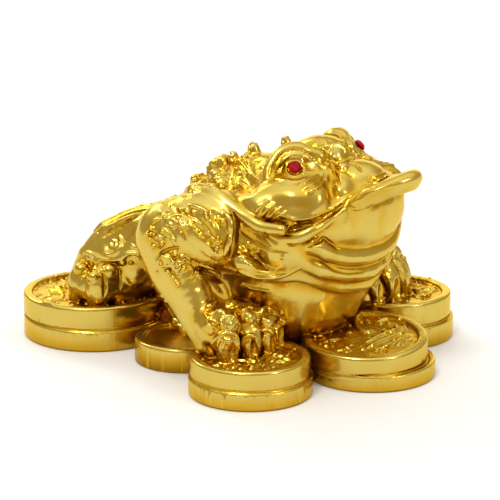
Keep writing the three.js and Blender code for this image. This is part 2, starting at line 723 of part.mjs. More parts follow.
  spoils(face, vertex, pick) {
    const before = this.plane(face);
    const shapeBefore = before[4] / this.longestEdge(face) ** 2;
    const held = this.points[vertex];
    this.points[vertex] = pick;
    const after = this.plane(face);
    const shapeAfter = after[4] / this.longestEdge(face) ** 2;
    this.points[vertex] = held;
    if (shapeAfter < 0.03 && shapeAfter < shapeBefore) return true;
    if (before[4] < SLIVER) return false;
    const turn = before[0] * after[0] + before[1] * after[1] + before[2] * after[2];
    return turn < 0.35 || after[4] < SLIVER;
  }

  longestEdge(face) {
    let longest = 0;
    for (let k = 0; k < 3; k++) longest = Math.max(longest, this.edgeLength(face[k], face[(k + 1) % 3]));
    return longest;
  }

  edgeLength(a, b) {
    const [p, q] = [this.points[a], this.points[b]];
    return Math.hypot(p[0] - q[0], p[1] - q[1], p[2] - q[2]);
  }

  // closes up the tiny edges that joining solids leaves
  dropShort(limit) {
    for (let round = 0; round < 4; round++) {
      for (let at = 0; at < this.faces.length; at++) {
        for (let k = 0; k < 3 && this.faces[at]; k++) {
          const a = this.faces[at][k];
          const b = this.faces[at][(k + 1) % 3];
          if (this.edgeLength(a, b) > limit) continue;
          if (this.safe(a, b, this.points[a])) this.collapse(a, b, this.points[a].slice());
        }
      }
    }
    return this;
  }

  collapse(a, b, pick) {
    this.points[a] = pick;
    for (let k = 0; k < 10; k++) this.quadric[a][k] += this.quadric[b][k];
    for (const at of this.around[b]) {
      const face = this.faces[at];
      if (face.includes(a)) {
        this.alive--;
        for (const vertex of face) {
          if (vertex !== b) this.around[vertex] = this.around[vertex].filter((other) => other !== at);
        }
        this.faces[at] = null;
      } else {
        face[face.indexOf(b)] = a;
        this.around[a].push(at);
      }
    }
    this.around[b] = [];
    this.stamp[a]++;
    this.stamp[b] = -1;
    for (const vertex of this.neighbours(a)) this.offer(a, vertex);
  }

  run(target, costLimit = Infinity) {
    while (this.alive > target && this.heap.length > 0) {
      const { a, b, pick, cost, stampA, stampB } = this.pop();
      if (cost > costLimit) break;
      if (this.stamp[a] !== stampA || this.stamp[b] !== stampB) continue;
      if (this.safe(a, b, pick)) this.collapse(a, b, pick);
    }
    const index = new Map();
    const points = [];
    const faces = this.faces.filter((face) => face).map((face) => face.map((vertex) => {
      if (!index.has(vertex)) {
        index.set(vertex, points.length);
        points.push(this.points[vertex]);
      }
      return index.get(vertex);
    }));
    return { points, faces };
  }
}

function solidFromMesh({ points, faces }) {
  return new wasm.Manifold(new wasm.Mesh({
    numProp: 3,
    vertProperties: Float32Array.from(points.flat()),
    triVerts: Uint32Array.from(faces.flat()),
  }));
}

function solidFromGeometry(geometry) {
  const bare = new THREE.BufferGeometry();
  bare.setAttribute('position', geometry.getAttribute('position'));
  if (geometry.getIndex()) bare.setIndex(geometry.getIndex());
  const merged = mergeVertices(bare, 1e-4);
  const place = merged.getAttribute('position');
  const index = merged.getIndex().array;
  const points = [];
  for (let i = 0; i < place.count; i++) points.push([place.getX(i), place.getY(i), place.getZ(i)]);
  const faces = [];
  for (let i = 0; i < index.length; i += 3) {
    const face = [index[i], index[i + 1], index[i + 2]];
    if (new Set(face).size === 3) faces.push(face);
  }
  return solidFromMesh({ points, faces });
}

// turns a profile of [radius, height] rows about an upright line through x, y
function turned(profile, sides, x = 0, y = 0) {
  const rows = profile.map(([radius, height]) => new THREE.Vector2(radius, height));
  const geometry = new THREE.LatheGeometry(rows, sides);
  geometry.rotateX(Math.PI / 2);
  geometry.translate(x, y, 0);
  return solidFromGeometry(geometry);
}

// leans a level solid about the middle of its coin
function leaned(solid, { x, y, lean }) {
  if (!lean) return solid;
  const [alongX, alongY] = lean;
  const matrix = new THREE.Matrix4().set(
    1, 0, 0, 0,
    0, 1, 0, 0,
    alongX, alongY, 1, -alongX * x - alongY * y,
    0, 0, 0, 1,
  );
  return solid.transform(matrix.toArray());
}

function makeCoin(coin) {
  const { x, y, radius, top, layers, shift, lean } = coin;
  const sides = layers === 2 ? COIN_SIDES : THIN_COIN_SIDES;
  const rise = lean ? Math.hypot(...lean) * radius : 0;
  const seam = layers === 2 ? (top - rise) * SEAM_SHARE : 0;
  const below = seam + Math.max(rise - LEAN_SINK, 0);
  const profile = [
    [0, below],
    [radius - EDGE, below],
    [radius, below + EDGE],
    [radius, top - EDGE],
    [radius - EDGE, top],
    [radius - RIM_WIDTH, top],
    [radius - RIM_WIDTH - 0.5, top - RECESS],
    [0, top - RECESS],
  ];
  const upper = leaned(turned(profile, sides, x, y), coin);
  if (layers === 1) return upper;
  const lowerProfile = [
    [0, 0],
    [radius - LOWER_EDGE, 0],
    [radius - LOWER_INSET, LOWER_EDGE],
    [radius - LOWER_INSET, seam - LOWER_EDGE],
    [radius - EDGE, seam + OVERLAP],
    [0, seam + OVERLAP],
  ];
  return upper.add(turned(lowerProfile, sides, x + shift[0], y + shift[1]));
}

function bar(x, y, z, length, width, height, turn) {
  const geometry = new THREE.BoxGeometry(length, width, height);
  geometry.rotateZ(turn);
  geometry.translate(x, y, z);
  return solidFromGeometry(geometry);
}

// a raised square frame and rows of short strokes on the sunk face of a coin
function makeRelief(coin, turn, frame, rows) {
  const { x, y, radius, top } = coin;
  const { height } = STROKE;
  const centre = top - RECESS - STROKE.sunk + height / 2;
  const solids = [];
  const place = (along, across) => [
    x + along * Math.cos(turn) - across * Math.sin(turn),
    y + along * Math.sin(turn) + across * Math.cos(turn),
  ];
  for (const side of frame > 0 ? [-1, 1] : []) {
    const [ax, ay] = place(0, side * frame);
    solids.push(bar(ax, ay, centre, 2 * frame + FRAME_BAR, FRAME_BAR, height, turn));
    const [bx, by] = place(side * frame, 0);
    solids.push(bar(bx, by, centre, FRAME_BAR, 2 * frame - FRAME_BAR, height, turn));
  }
  for (const [direction, count] of rows) {
    const middle = (radius - RIM_WIDTH + frame) / 2;
    for (let i = 0; i < count; i++) {
      const spread = (i - (count - 1) / 2) * STROKE.spacing;
      const away = middle + ((i % 2) - 0.5) * STROKE.stagger;
      const angle = direction * (Math.PI / 2);
      const along = away * Math.cos(angle) - spread * Math.sin(angle);
      const across = away * Math.sin(angle) + spread * Math.cos(angle);
      const [sx, sy] = place(along, across);
      solids.push(bar(sx, sy, centre, STROKE.width, STROKE.length, height, turn + angle + Math.PI / 2));
    }
  }
  return solids.map((solid) => leaned(solid, coin));
}

// tilts a solid made upright at the origin so that it looks out of the eye, and puts it there
function inEye(solid, s) {
  const out = new THREE.Vector3(s * 0.6, -0.48, 0.64).normalize();
  const turn = new THREE.Quaternion().setFromUnitVectors(new THREE.Vector3(0, 0, 1), out);
  const matrix = new THREE.Matrix4().compose(
    new THREE.Vector3(...eyePoint(s, EYE.stoneForward, EYE.stoneUp, 0)),
    turn,
    new THREE.Vector3(1, 1, 1),
  );
  return solid.transform(matrix.toArray());
}

// a cut stone: cone below, bevelled crown, flat table
function makeStone(s) {
  const profile = [[0, -1.7], [EYE.radius, -0.35], [EYE.radius, 0], [1.15, 0.75], [0, 0.75]];
  return inEye(turned(profile, 12), s);
}

function makeSocket(s) {
  const radius = EYE.radius + GAP;
  const profile = [[0, -2.1], [radius, -0.6], [radius, 3], [0, 3]];
  return inEye(turned(profile, 16), s);
}

function makeToad() {
  const clay = new Clay(ROOM_LOW, ROOM_HIGH, CELL);
  makeBody(clay);
  makeRearLeg(clay);
  makeHead(clay);
  makeMouth(clay);
  makeThroat(clay);
  makeArm(clay, TOES.right);
  makeArm(clay, TOES.left);
  makeString(clay);
  let toad = solidFromMesh(new Thinner(drawSkin(clay)).run(TOAD_TRIANGLES));
  for (const knob of makeKnobs(clay)) toad = toad.add(knob);
  return toad;
}

function makeCasting() {
  let casting = makeToad();
  const cutter = [
    [0, -CUTTER.depth], [CUTTER.radius, -CUTTER.depth], [CUTTER.radius, FOOT_CUT], [0, FOOT_CUT],
  ];
  casting = casting.subtract(turned(cutter, CUTTER.sides));
  const { x, y, radius, top } = BASE;
  casting = casting.add(turned([[0, 0], [radius, 0], [radius, top], [0, top]], COIN_SIDES, x, y));
  for (const coin of Object.values(COINS)) casting = casting.add(makeCoin(coin));
  const reliefs = [
    ...makeRelief(COINS.front, 0.5, 0, [[0, 3], [2, 3], [3, 3]]),
    ...makeRelief(COINS.rear, 0.5, 3.6, [[0, 3], [1, 3], [2, 3]]),
    ...makeRelief(COINS.leftFoot, 0.3, 3.0, [[0, 3], [3, 3]]),
  ];
  for (const solid of reliefs) casting = casting.add(solid);
  for (const s of [-1, 1]) casting = casting.subtract(makeSocket(s));
  return casting;
}

function shellOf(solid) {
  const { vertProperties, triVerts, numProp } = solid.getMesh();
  const points = [];
  for (let i = 0; i < vertProperties.length; i += numProp) points.push([...vertProperties.slice(i, i + 3)]);
  const faces = [];
  for (let i = 0; i < triVerts.length; i += 3) faces.push([...triVerts.slice(i, i + 3)]);
  return largestShell(points, faces);
}

function meshFromShell({ points, faces }, name, colour, metalness) {
  const geometry = new THREE.BufferGeometry();
  geometry.setAttribute('position', new THREE.BufferAttribute(Float32Array.from(points.flat()), 3));
  geometry.setIndex(new THREE.BufferAttribute(Uint32Array.from(faces.flat()), 1));
  geometry.translate(-CENTRE_X, 0, 0);
  const material = new THREE.MeshStandardMaterial({ color: colour, metalness, roughness: 0.35 });
  const mesh = new THREE.Mesh(toCreasedNormals(geometry, 0.6), material);
  mesh.name = name;
  return mesh;
}

const figure = new THREE.Group();
figure.name = 'money_toad';
const casting = new Thinner(shellOf(makeCasting())).dropShort(0.03).run(0, FLAT_ENOUGH);
figure.add(meshFromShell(casting, 'toad_on_coins', 0xd9a82e, 0.6));
figure.add(meshFromShell(shellOf(makeStone(-1)), 'eye_stone_right', 0xa80f14, 0.0));
figure.add(meshFromShell(shellOf(makeStone(1)), 'eye_stone_left', 0xa80f14, 0.0));

export default figure;
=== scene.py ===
"""A three-legged toad on piled coins: gold-painted cast resin with two red eye stones.

The casting is worked like clay: soft forms are added to and cut from a grid of distances,
and its skin is drawn, thinned and put in place of the plain CAD casting. All working
lengths are in millimetres and become metres when a mesh is made. The toad looks along -Y.
Fine carving is set out in the photograph's pixels on the near side, dropped on the clay
through the camera, and repeated on the far side.
"""
import json
import math

import bmesh
import bpy
import numpy as np
import openvdb
from mathutils import Matrix, Vector

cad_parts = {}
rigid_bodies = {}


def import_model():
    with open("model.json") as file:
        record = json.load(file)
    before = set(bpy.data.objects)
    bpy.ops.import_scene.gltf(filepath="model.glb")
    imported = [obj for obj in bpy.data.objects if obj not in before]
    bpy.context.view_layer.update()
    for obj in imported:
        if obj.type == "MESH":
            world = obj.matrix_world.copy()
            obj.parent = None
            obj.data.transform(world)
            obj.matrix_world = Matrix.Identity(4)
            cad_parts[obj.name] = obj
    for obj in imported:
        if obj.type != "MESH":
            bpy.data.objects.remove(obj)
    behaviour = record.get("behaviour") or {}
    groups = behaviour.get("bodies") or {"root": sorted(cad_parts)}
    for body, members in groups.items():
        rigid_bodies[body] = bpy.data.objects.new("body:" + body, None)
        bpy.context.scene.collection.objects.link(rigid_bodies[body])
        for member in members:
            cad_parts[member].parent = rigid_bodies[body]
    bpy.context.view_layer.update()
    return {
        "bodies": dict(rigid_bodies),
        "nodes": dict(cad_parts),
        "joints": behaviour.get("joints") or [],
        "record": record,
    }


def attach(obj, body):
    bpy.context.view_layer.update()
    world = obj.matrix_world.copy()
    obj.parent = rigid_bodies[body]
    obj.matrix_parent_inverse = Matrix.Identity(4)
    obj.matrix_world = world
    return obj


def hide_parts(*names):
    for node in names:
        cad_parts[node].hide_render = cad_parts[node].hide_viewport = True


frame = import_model()

MM = 0.001
CELL = 0.3
ROOM_LOW = (-48.0, -60.0, -2.0)
ROOM_HIGH = (50.0, 60.5, 63.0)
FAR = 12.0
WINDOW_MARGIN = 2.5 * CELL + 0.5
LIMB_MARGIN = 7.0
SLOPE_REACH = 0.5
SETTLE_ROUNDS = 6
RAY_REACH = 80
RAY_STEP = 0.3
SKIN_TRIANGLES = 192000
SEED = 4

# the same middle of the part as in the CAD source: half the difference of its left and right
CENTRE_X = 1.25

# the photograph's camera: where it looks, how far off it is, its angles and focal length
TARGET = (-6.916, -8.783, 29.039)
DISTANCE = 605.2
AZIMUTH = -54.75
ELEVATION = 15.43
FOCAL_PIXELS = 2337.0
PICTURE = 500

# every coin: middle, radius, top, and the shift of the coin below, if there is one
COINS = {
    "right_foot": ((-30.3, -25.3), 15.1, 10.1, (0.2, 0.0)),
    "left_foot": ((32.6, -28.2), 15.4, 12.4, (0.2, -0.2)),
    "front": ((-1.0, -40.4), 16.2, 10.7, (1.3, -1.0)),
    "right_side": ((-17.6, 4.5), 13.1, 6.4, None),
    "left_side": ((17.6, 4.5), 13.6, 6.4, None),
    "left_rear": ((11.5, 26.5), 13.6, 6.4, None),
    "rear": ((-12.5, 38.8), 19.1, 12.0, (0.4, -0.3)),
}
RIM = 2.4
RECESS = 1.0
COIN_ROUND = 0.8
LEVEL = (0.0, 0.0)
# how much a coin climbs per millimetre along x and y
LEANS = {"front": (0.079, 0.056)}
LEAN_SINK = 2.2
BASE = ((0, -12), 26.0, 6.0)
COIN_TOPS = 12.5

EYE = (15.2, -28.2, 55.1)
EYE_OUT = (0.6, -0.48, 0.64)
STONE_RADIUS = 1.7
STONE_FORWARD = 0.1
STONE_UP = 0.4

# toes of each foot: knuckle, tip, radius
RIGHT_TOES = (
    ((-35.0, -20.0, 16.6), (-36.0, -22.4, 9.6), 3.3),
    ((-28.4, -22.2, 16.4), (-29.6, -24.9, 9.6), 3.1),
    ((-22.9, -23.2, 15.8), (-24.0, -26.2, 9.6), 2.8),
    ((-18.4, -22.8, 15.6), (-19.0, -25.4, 9.6), 2.4),
)
LEFT_TOES = (
    ((37.6, -24.8, 18.2), (39.2, -27.8, 12.6), 2.8),
    ((32.0, -28.0, 19.2), (33.0, -31.2, 12.6), 2.8),
    ((25.9, -28.6, 20.0), (26.6, -31.8, 12.6), 2.7),
    ((20.5, -27.0, 19.0), (20.8, -30.4, 12.6), 2.4),
)


# Clay

def soft_min(a, b, blend):
    if blend <= 0:
        return np.minimum(a, b)
    near = np.maximum(blend - np.abs(a - b), 0.0)
    return np.minimum(a, b) - near * near * (0.25 / blend)


class Clay:
    """A distance to the skin for every grid point: negative inside."""

    def __init__(self):
        self.low = np.array(ROOM_LOW)
        counts = np.ceil((np.array(ROOM_HIGH) - self.low) / CELL).astype(int) + 1
        self.axes = [(self.low[i] + CELL * np.arange(counts[i])).astype(np.float32) for i in range(3)]
        self.field = np.full(counts, FAR, np.float32)

    def window(self, low, high, margin):
        first = np.floor((low - margin - self.low) / CELL).astype(int)
        last = np.ceil((high + margin - self.low) / CELL).astype(int) + 1
        first, last = np.maximum(first, 0), np.clip(last, 0, self.field.shape)
        return tuple(slice(start, stop) for start, stop in zip(first, last))

    def work(self, form, blend, sign):
        (low, high), distance = form
        part = self.window(low, high, blend + WINDOW_MARGIN)
        x = self.axes[0][part[0]][:, None, None]
        y = self.axes[1][part[1]][None, :, None]
        z = self.axes[2][part[2]][None, None, :]
        self.field[part] = sign * soft_min(sign * self.field[part], distance(x, y, z), blend)

    def add(self, form, blend=0.0):
        self.work(form, blend, 1)

    def cut(self, form, blend=0.0):
        self.work(form, blend, -1)

    def sample(self, points):
        """The field at rows of points, read between grid points."""
        place = (np.atleast_2d(points) - self.low) / CELL
        place = np.clip(place, 0, np.array(self.field.shape) - 1.001)
        base = place.astype(int)
        part = place - base
        total = np.zeros(len(place))
        for corner in range(8):
            step = np.array([corner & 1, (corner >> 1) & 1, (corner >> 2) & 1])
            weight = np.prod(np.where(step, part, 1 - part), axis=1)
            i, j, k = (base + step).T
            total += weight * self.field[i, j, k]
        return total

    def slope(self, points):
        steps = np.eye(3) * SLOPE_REACH
        columns = [self.sample(points + step) - self.sample(points - step) for step in steps]
        return np.stack(columns, axis=1) / (2 * SLOPE_REACH)

    def normals(self, points):
        slope = self.slope(points)
        return slope / np.maximum(np.linalg.norm(slope, axis=1, keepdims=True), 1e-6)

    def settle(self, points):
        """Moves points that are near the skin onto it."""
        points = np.atleast_2d(np.array(points, float)).copy()
        for _ in range(SETTLE_ROUNDS):
            slope = self.slope(points)
            steepness = np.maximum((slope ** 2).sum(axis=1), 0.01)
            step = np.clip(self.sample(points) / steepness, -2, 2)
            points -= slope * step[:, None]
        return points

    def drop(self, pixels):
        """The points of the skin that the photograph's camera sees at these pixels."""
        pixels = np.atleast_2d(np.array(pixels, float))
        across = (pixels[:, :1] - PICTURE / 2) / FOCAL_PIXELS
        down = (pixels[:, 1:2] - PICTURE / 2) / FOCAL_PIXELS
        rays = -CAMERA_BACK + CAMERA_RIGHT * across - CAMERA_UP * down
        depths = np.arange(DISTANCE - RAY_REACH, DISTANCE + RAY_REACH, RAY_STEP)
        along = CAMERA_PLACE + rays[:, None, :] * depths[None, :, None]
        values = self.sample(along.reshape(-1, 3)).reshape(len(pixels), -1)
        first = np.argmax(values < 0, axis=1)
        missed = values.min(axis=1) >= 0
        first = np.where(missed, np.argmin(values, axis=1), first)
        return self.settle(along[np.arange(len(pixels)), first])


def camera_axes():
    azimuth, elevation = math.radians(AZIMUTH), math.radians(ELEVATION)
    back = np.array([
        math.sin(azimuth) * math.cos(elevation),
        -math.cos(azimuth) * math.cos(elevation),
        math.sin(elevation),
    ])
    right = np.array([math.cos(azimuth), math.sin(azimuth), 0.0])
    return back, right, np.cross(back, right)


CAMERA_BACK, CAMERA_RIGHT, CAMERA_UP = camera_axes()
CAMERA_PLACE = np.array(TARGET) + CAMERA_BACK * DISTANCE


# Forms: each is its box and its distance function

def ball(centre, radius):
    cx, cy, cz = centre
    box = (np.array(centre) - radius, np.array(centre) + radius)
    return box, lambda x, y, z: np.sqrt((x - cx) ** 2 + (y - cy) ** 2 + (z - cz) ** 2) - radius


def egg(centre, radii, turn=(0, 0, 0)):
    """An ellipsoid, turned by degrees about x, then y, then z."""
    rx, ry, rz = (math.radians(value) for value in turn)
    matrix = Matrix.Rotation(rz, 3, "Z") @ Matrix.Rotation(ry, 3, "Y") @ Matrix.Rotation(rx, 3, "X")
    matrix = np.array(matrix)
    centre, radii = np.array(centre, float), np.array(radii, float)
    half = np.sqrt(((matrix * radii[None, :]) ** 2).sum(axis=1))

    def distance(x, y, z):
        dx, dy, dz = x - centre[0], y - centre[1], z - centre[2]
        near = 0.0
        steep = 0.0
        for k in range(3):
            along = dx * matrix[0, k] + dy * matrix[1, k] + dz * matrix[2, k]
            near = near + (along / radii[k]) ** 2
            steep = steep + (along / radii[k] ** 2) ** 2
        near, steep = np.sqrt(near), np.sqrt(steep)
        return near * (near - 1.0) / np.maximum(steep, 1e-6)

    return (centre - half, centre + half), distance


def smooth_rows(rows, steps):
    """A smooth curve through rows of numbers."""
    rows = np.array(rows, float)
    if steps <= 1 or len(rows) < 3:
        return rows
    ends = np.vstack([2 * rows[0] - rows[1], rows, 2 * rows[-1] - rows[-2]])
    out = []
    for a, b, c, d in zip(ends[:-3], ends[1:-2], ends[2:-1], ends[3:]):
        for t in np.arange(steps) / steps:
            square = (2 * a - 5 * b + 4 * c - d) * t ** 2
            cube = (-a + 3 * b - 3 * c + d) * t ** 3
            out.append(0.5 * (2 * b + (c - a) * t + square + cube))
    return np.array(out + [rows[-1]])


def near_slice(axis_values, low, high):
    flat = axis_values.ravel()
    return slice(np.searchsorted(flat, low), np.searchsorted(flat, high, side="right"))


def limb(rows, steps=4):
    """A round limb that follows rows of x, y, z, radius."""
    path = smooth_rows(rows, steps)
    low = (path[:, :3] - path[:, 3:]).min(axis=0)
    high = (path[:, :3] + path[:, 3:]).max(axis=0)

    def distance(x, y, z):
        best = np.full((x.size, y.size, z.size), FAR, np.float32)
        for a, b in zip(path[:-1], path[1:]):
            reach = max(a[3], b[3]) + LIMB_MARGIN
            bounds = [(min(a[i], b[i]) - reach, max(a[i], b[i]) + reach) for i in range(3)]
            part = tuple(near_slice(values, *bound) for values, bound in zip((x, y, z), bounds))
            px, py, pz = x[part[0]], y[:, part[1]], z[:, :, part[2]]
            run = b[:3] - a[:3]
            along = (px - a[0]) * run[0] + (py - a[1]) * run[1] + (pz - a[2]) * run[2]
            t = np.clip(along / max(float(run @ run), 1e-9), 0, 1)
            away = (px - a[0] - t * run[0]) ** 2 + (py - a[1] - t * run[1]) ** 2
            away = np.sqrt(away + (pz - a[2] - t * run[2]) ** 2)
            best[part] = np.minimum(best[part], away - a[3] - t * (b[3] - a[3]))
        return best

    return (low, high), distance


def round_box(centre, radius, low, high, lean):
    rise = math.hypot(*lean) * radius
    return (
        np.array([centre[0] - radius, centre[1] - radius, low - rise]),
        np.array([centre[0] + radius, centre[1] + radius, high + rise]),
    )


def hoop(centre, radius, height, thickness):
    """A ring of round section."""
    def distance(x, y, z):
        out = np.sqrt((x - centre[0]) ** 2 + (y - centre[1]) ** 2) - radius
        return np.sqrt(out ** 2 + (z - height) ** 2) - thickness

    return round_box(centre, radius + thickness, height - thickness, height + thickness, LEVEL), distance


def disc(centre, radius, low, high, rounding, lean=LEVEL):
    """A disc with rounded edges, which can lean about its centre."""
    middle, half = (low + high) / 2, (high - low) / 2

    def distance(x, y, z):
        out = np.sqrt((x - centre[0]) ** 2 + (y - centre[1]) ** 2) - radius + rounding
        height = z - lean[0] * (x - centre[0]) - lean[1] * (y - centre[1])
        over = np.abs(height - middle) - half + rounding
        inside = np.minimum(np.maximum(out, over), 0)
        return inside + np.sqrt(np.maximum(out, 0) ** 2 + np.maximum(over, 0) ** 2) - rounding

    return round_box(centre, radius, low, high, lean), distance


def on_side(side, rows):
    """Rows that start with x, put on the left side with 1 or on the right side with -1."""
    return [(side * row[0], *row[1:]) for row in rows]


def both_ways(rows):
    """Runs a line that ends on the middle plane on to the other side."""
    return list(rows) + on_side(-1, rows[:-1])[::-1]


# Marks on the skin

LEAP = 4.0


def paired(numbers):
    return np.reshape(numbers, (-1, 2))


def marked(clay, points, radius, sink, blend, cut, taper):
    """A line on the skin, broken where it leaps from one form to another."""
    share = np.linspace(0, 1, len(points))
    radii = radius * (1 - taper * np.abs(2 * share - 1) ** 3)
    points = points - clay.normals(points) * (sink * radii)[:, None]
    rows = np.column_stack([points, radii])
    leaps = np.linalg.norm(np.diff(points, axis=0), axis=1) > LEAP
    for run in np.split(rows, np.flatnonzero(leaps) + 1):
        if len(run) > 1:
            clay.work(limb(run, 1), blend, -1 if cut else 1)


def mark(clay, pixels, radius, sink=0.1, blend=0.25, cut=False, taper=0.5, steps=4, far_side=True):
    """A raised or cut line along the photograph's pixels, and its twin on the far side."""
    points = clay.drop(smooth_rows(paired(pixels), steps))
    lines = [points, clay.settle(points * (-1, 1, 1))] if far_side else [points]
    for line in lines:
        marked(clay, line, radius, sink, blend, cut, taper)


def bead(clay, point, radius, blend=0.25, sink=0.2):
    point = clay.settle(point)
    point = point - clay.normals(point) * sink * radius
    clay.add(ball(point[0], radius), blend)


def ridges(clay, rows, far_side=True, sink=0.1):
    """Raised lines: each row is a radius, then x and y of the pixels it runs through."""
    for radius, *pixels in rows:
        mark(clay, pixels, radius, sink, far_side=far_side)


def grooves(clay, rows, far_side=True):
    for radius, *pixels in rows:
        mark(clay, pixels, radius, 0.15, cut=True, taper=0.6, far_side=far_side)


def swellings(clay, rows, far_side=True):
    """Soft low lobes along rows of pixels."""
    for radius, *pixels in rows:
        mark(clay, pixels, radius, 0.6, 2.0, far_side=far_side)


def valleys(clay, rows, far_side=True):
    """Wide shallow hollows along rows of pixels."""
    for radius, *pixels in rows:
        mark(clay, pixels, radius, -0.55, 1.0, True, far_side=far_side)


def beads(clay, rows, far_side=True, sink=0.2):
    """Round beads: each row is a radius, then x and y of the pixels of the beads."""
    for radius, *pixels in rows:
        for point in clay.drop(paired(pixels)):
            bead(clay, point, radius, 0.25, sink)
            if far_side:
                bead(clay, point * (-1, 1, 1), radius, 0.25, sink)


CURL_INNER = 1.5


def curl(centre, start, turns, outer):
    """The pixels of a spiral about a centre, from an angle in degrees, drawn inwards."""
    count = max(int(10 * abs(turns)), 4)
    pixels = []
    for i in range(count + 1):
        angle = math.radians(start + 360 * turns * i / count)
        radius = outer + (CURL_INNER - outer) * i / count
        pixels.append((centre[0] + radius * math.cos(angle), centre[1] - radius * math.sin(angle)))
    return pixels


def curls(clay, rows, sink=0.1):
    """Raised spirals: each row is a radius and what curl takes."""
    for radius, *row in rows:
        mark(clay, curl(*row), radius, sink, taper=0.2, steps=1)


def ring_of_beads(clay, point, ring_radius, bead_radius):
    """Small beads in a ring on the skin about a point."""
    normal = clay.normals(point)[0]
    across = np.cross(normal, (0.0, 0.3, 1.0))
    across /= np.linalg.norm(across)
    along = np.cross(normal, across)
    count = max(6, int(2 * math.pi * ring_radius / (2.1 * bead_radius)))
    for i in range(count):
        angle = 2 * math.pi * i / count
        away = (across * math.cos(angle) + along * math.sin(angle)) * ring_radius
        bead(clay, point[0] + away, bead_radius, 0.15, 0)


def spur(clay, pixel, tip_pixel, radius):
    """A small claw that stands off the skin, level with the picture."""
    foot = clay.drop(pixel)[0]
    run = (np.array(tip_pixel) - pixel) * np.linalg.norm(foot - CAMERA_PLACE) / FOCAL_PIXELS
    tip = foot + CAMERA_RIGHT * run[0] - CAMERA_UP * run[1]
    clay.add(limb([(*foot, radius), (*tip, radius * 0.5)]), 0.3)


def knob(clay, point, radius, lift):
    """A round knob that stands on the skin, ringed with small beads."""
    foot = clay.settle(point)
    top = foot + clay.normals(foot) * lift
    clay.add(ball(top[0], radius), 0.6)
    ring_of_beads(clay, foot, radius + 0.5, 0.55)


# Body

def make_body(clay):
    clay.add(egg((0, -16, 24.5), (22, 22, 20.5)))
    clay.add(egg((0, -8, 32), (24, 25, 18), (-14, 0, 0)), 6)
    clay.add(egg((-1, 4, 27), (17, 14, 13.5), (-24, 0, 0)), 5)
    clay.add(limb([(0, -16, 47, 7), (0, -6, 45.2, 7), (0, 1, 40.2, 7), (-1, 7, 32, 6.5)]), 6)
    for side in (-1, 1):
        clay.add(egg((side * 19.5, -28.5, 37), (8, 7, 9)), 4)
    clay.add(egg((0, -31, 36), (17, 11, 10)), 3)
    clay.add(egg((2, 8, 4), (15, 18, 9)), 2)


def make_rear_leg(clay):
    thigh = [(-2, 11, 28.5, 11.5), (-6, 21, 27, 10), (-10, 30.5, 23, 9.3), (-11.5, 35.4, 18.5, 8.3)]
    clay.add(limb(thigh), 5)
    ankle = [
        (-11, 42.5, 21.5, 1.2), (-16, 38.8, 22.4, 1.4), (-18.9, 33, 22.5, 1.4),
        (-18.3, 28, 23.5, 1.2), (-16.2, 24, 25, 1),
    ]
    clay.add(limb(ankle), 1.5)
    instep = [
        (-12, 41, 15.5, 4.4), (-18.5, 37, 15.5, 4.4), (-20.6, 31.2, 15.8, 4.4),
        (-15.5, 28.8, 16, 4.4), (-9.8, 26, 17, 4.8), (-3.5, 22, 17.6, 5),
    ]
    clay.add(limb(instep), 2)
    sole = [(-15.5, 27.5, 12.5, 2.4), (-11, 26, 12.3, 2.6), (-5.5, 25, 12.2, 2.6)]
    clay.add(limb(sole), 1.5)
    clay.add(egg((-13.3, 24.3, 20), (3.9, 3.9, 5)), 0.6)
    toes = (
        ((-11.5, 41.0, 18.0), (-13.0, 42.0, 12.5), 3.2),
        ((-19.5, 36.5, 18.0), (-21.0, 37.5, 12.2), 3.2),
        ((-20.8, 30.3, 18.0), (-21.8, 30.0, 12.2), 3.4),
    )
    for (kx, ky, kz), tip, radius in toes:
        root = (kx + 6, ky - 2, kz + 0.5, radius)
        clay.add(limb([root, (kx, ky, kz, radius + 0.2), (*tip, radius * 0.8)]), 1.0)


def eye_point(side, forward, up, out):
    """A point by an eye: forward along the lid, up, and out, from the middle of the stone."""
    return (
        side * (EYE[0] - 0.625 * forward - 0.5 * up + EYE_OUT[0] * out),
        EYE[1] - 0.781 * forward + 0.4 * up + EYE_OUT[1] * out,
        EYE[2] + 0.769 * up + EYE_OUT[2] * out,
    )


# rolls round an eye: rows of forward, up, out, radius
BROW = (
    (9, 2, -4.4, 0.9), (5.5, 5, -2.9, 1.5), (1, 6, -2.2, 1.9),
    (-3.3, 4.9, -1.7, 1.7), (-6.3, 0.5, -2.3, 1.5), (-6.6, -2.5, -3.2, 0.9),
)
UPPER_LID = (
    (8.2, 1.4, -3.4, 0.5), (5.4, 3.2, -2.2, 0.75), (2.4, 4.2, -1.3, 0.8),
    (-0.9, 4, -1.2, 0.8), (-3.5, 2.1, -1.5, 0.8), (-5, -1.1, -2.7, 0.6),
)
LOWER_LID = (
    (7.8, 0.8, -3.4, 0.5), (5, -1.6, -2.2, 0.7), (0.8, -3.2, -1, 0.8),
    (-3, -2.4, -1.6, 0.7), (-5, -1.2, -2.8, 0.5),
)
EYE_BAG = ((8, -1.2, -3.9, 0.5), (5, -3.6, -2.6, 0.8), (0.8, -5, -1.8, 0.9), (-3, -4.2, -2.2, 0.7))


def make_eye(clay, side):
    clay.add(ball(eye_point(side, -0.5, 0.5, -9.2), 7.6), 1.5)
    clay.add(ball(eye_point(side, 0, 0, -5.4), 5.2), 0.6)
    clay.add(egg((side * 9.6, -24.3, 56.4), (3.4, 4.6, 4), (-14, 0, 0)), 1.2)
    clay.add(ball(eye_point(side, 4.4, 0.4, -5.2), 3.9), 0.8)
    for rows, blend in ((BROW, 0.9), (UPPER_LID, 0.4), (LOWER_LID, 0.4), (EYE_BAG, 0.5)):
        clay.add(limb([(*eye_point(side, *row[:3]), row[3]) for row in rows]), blend)


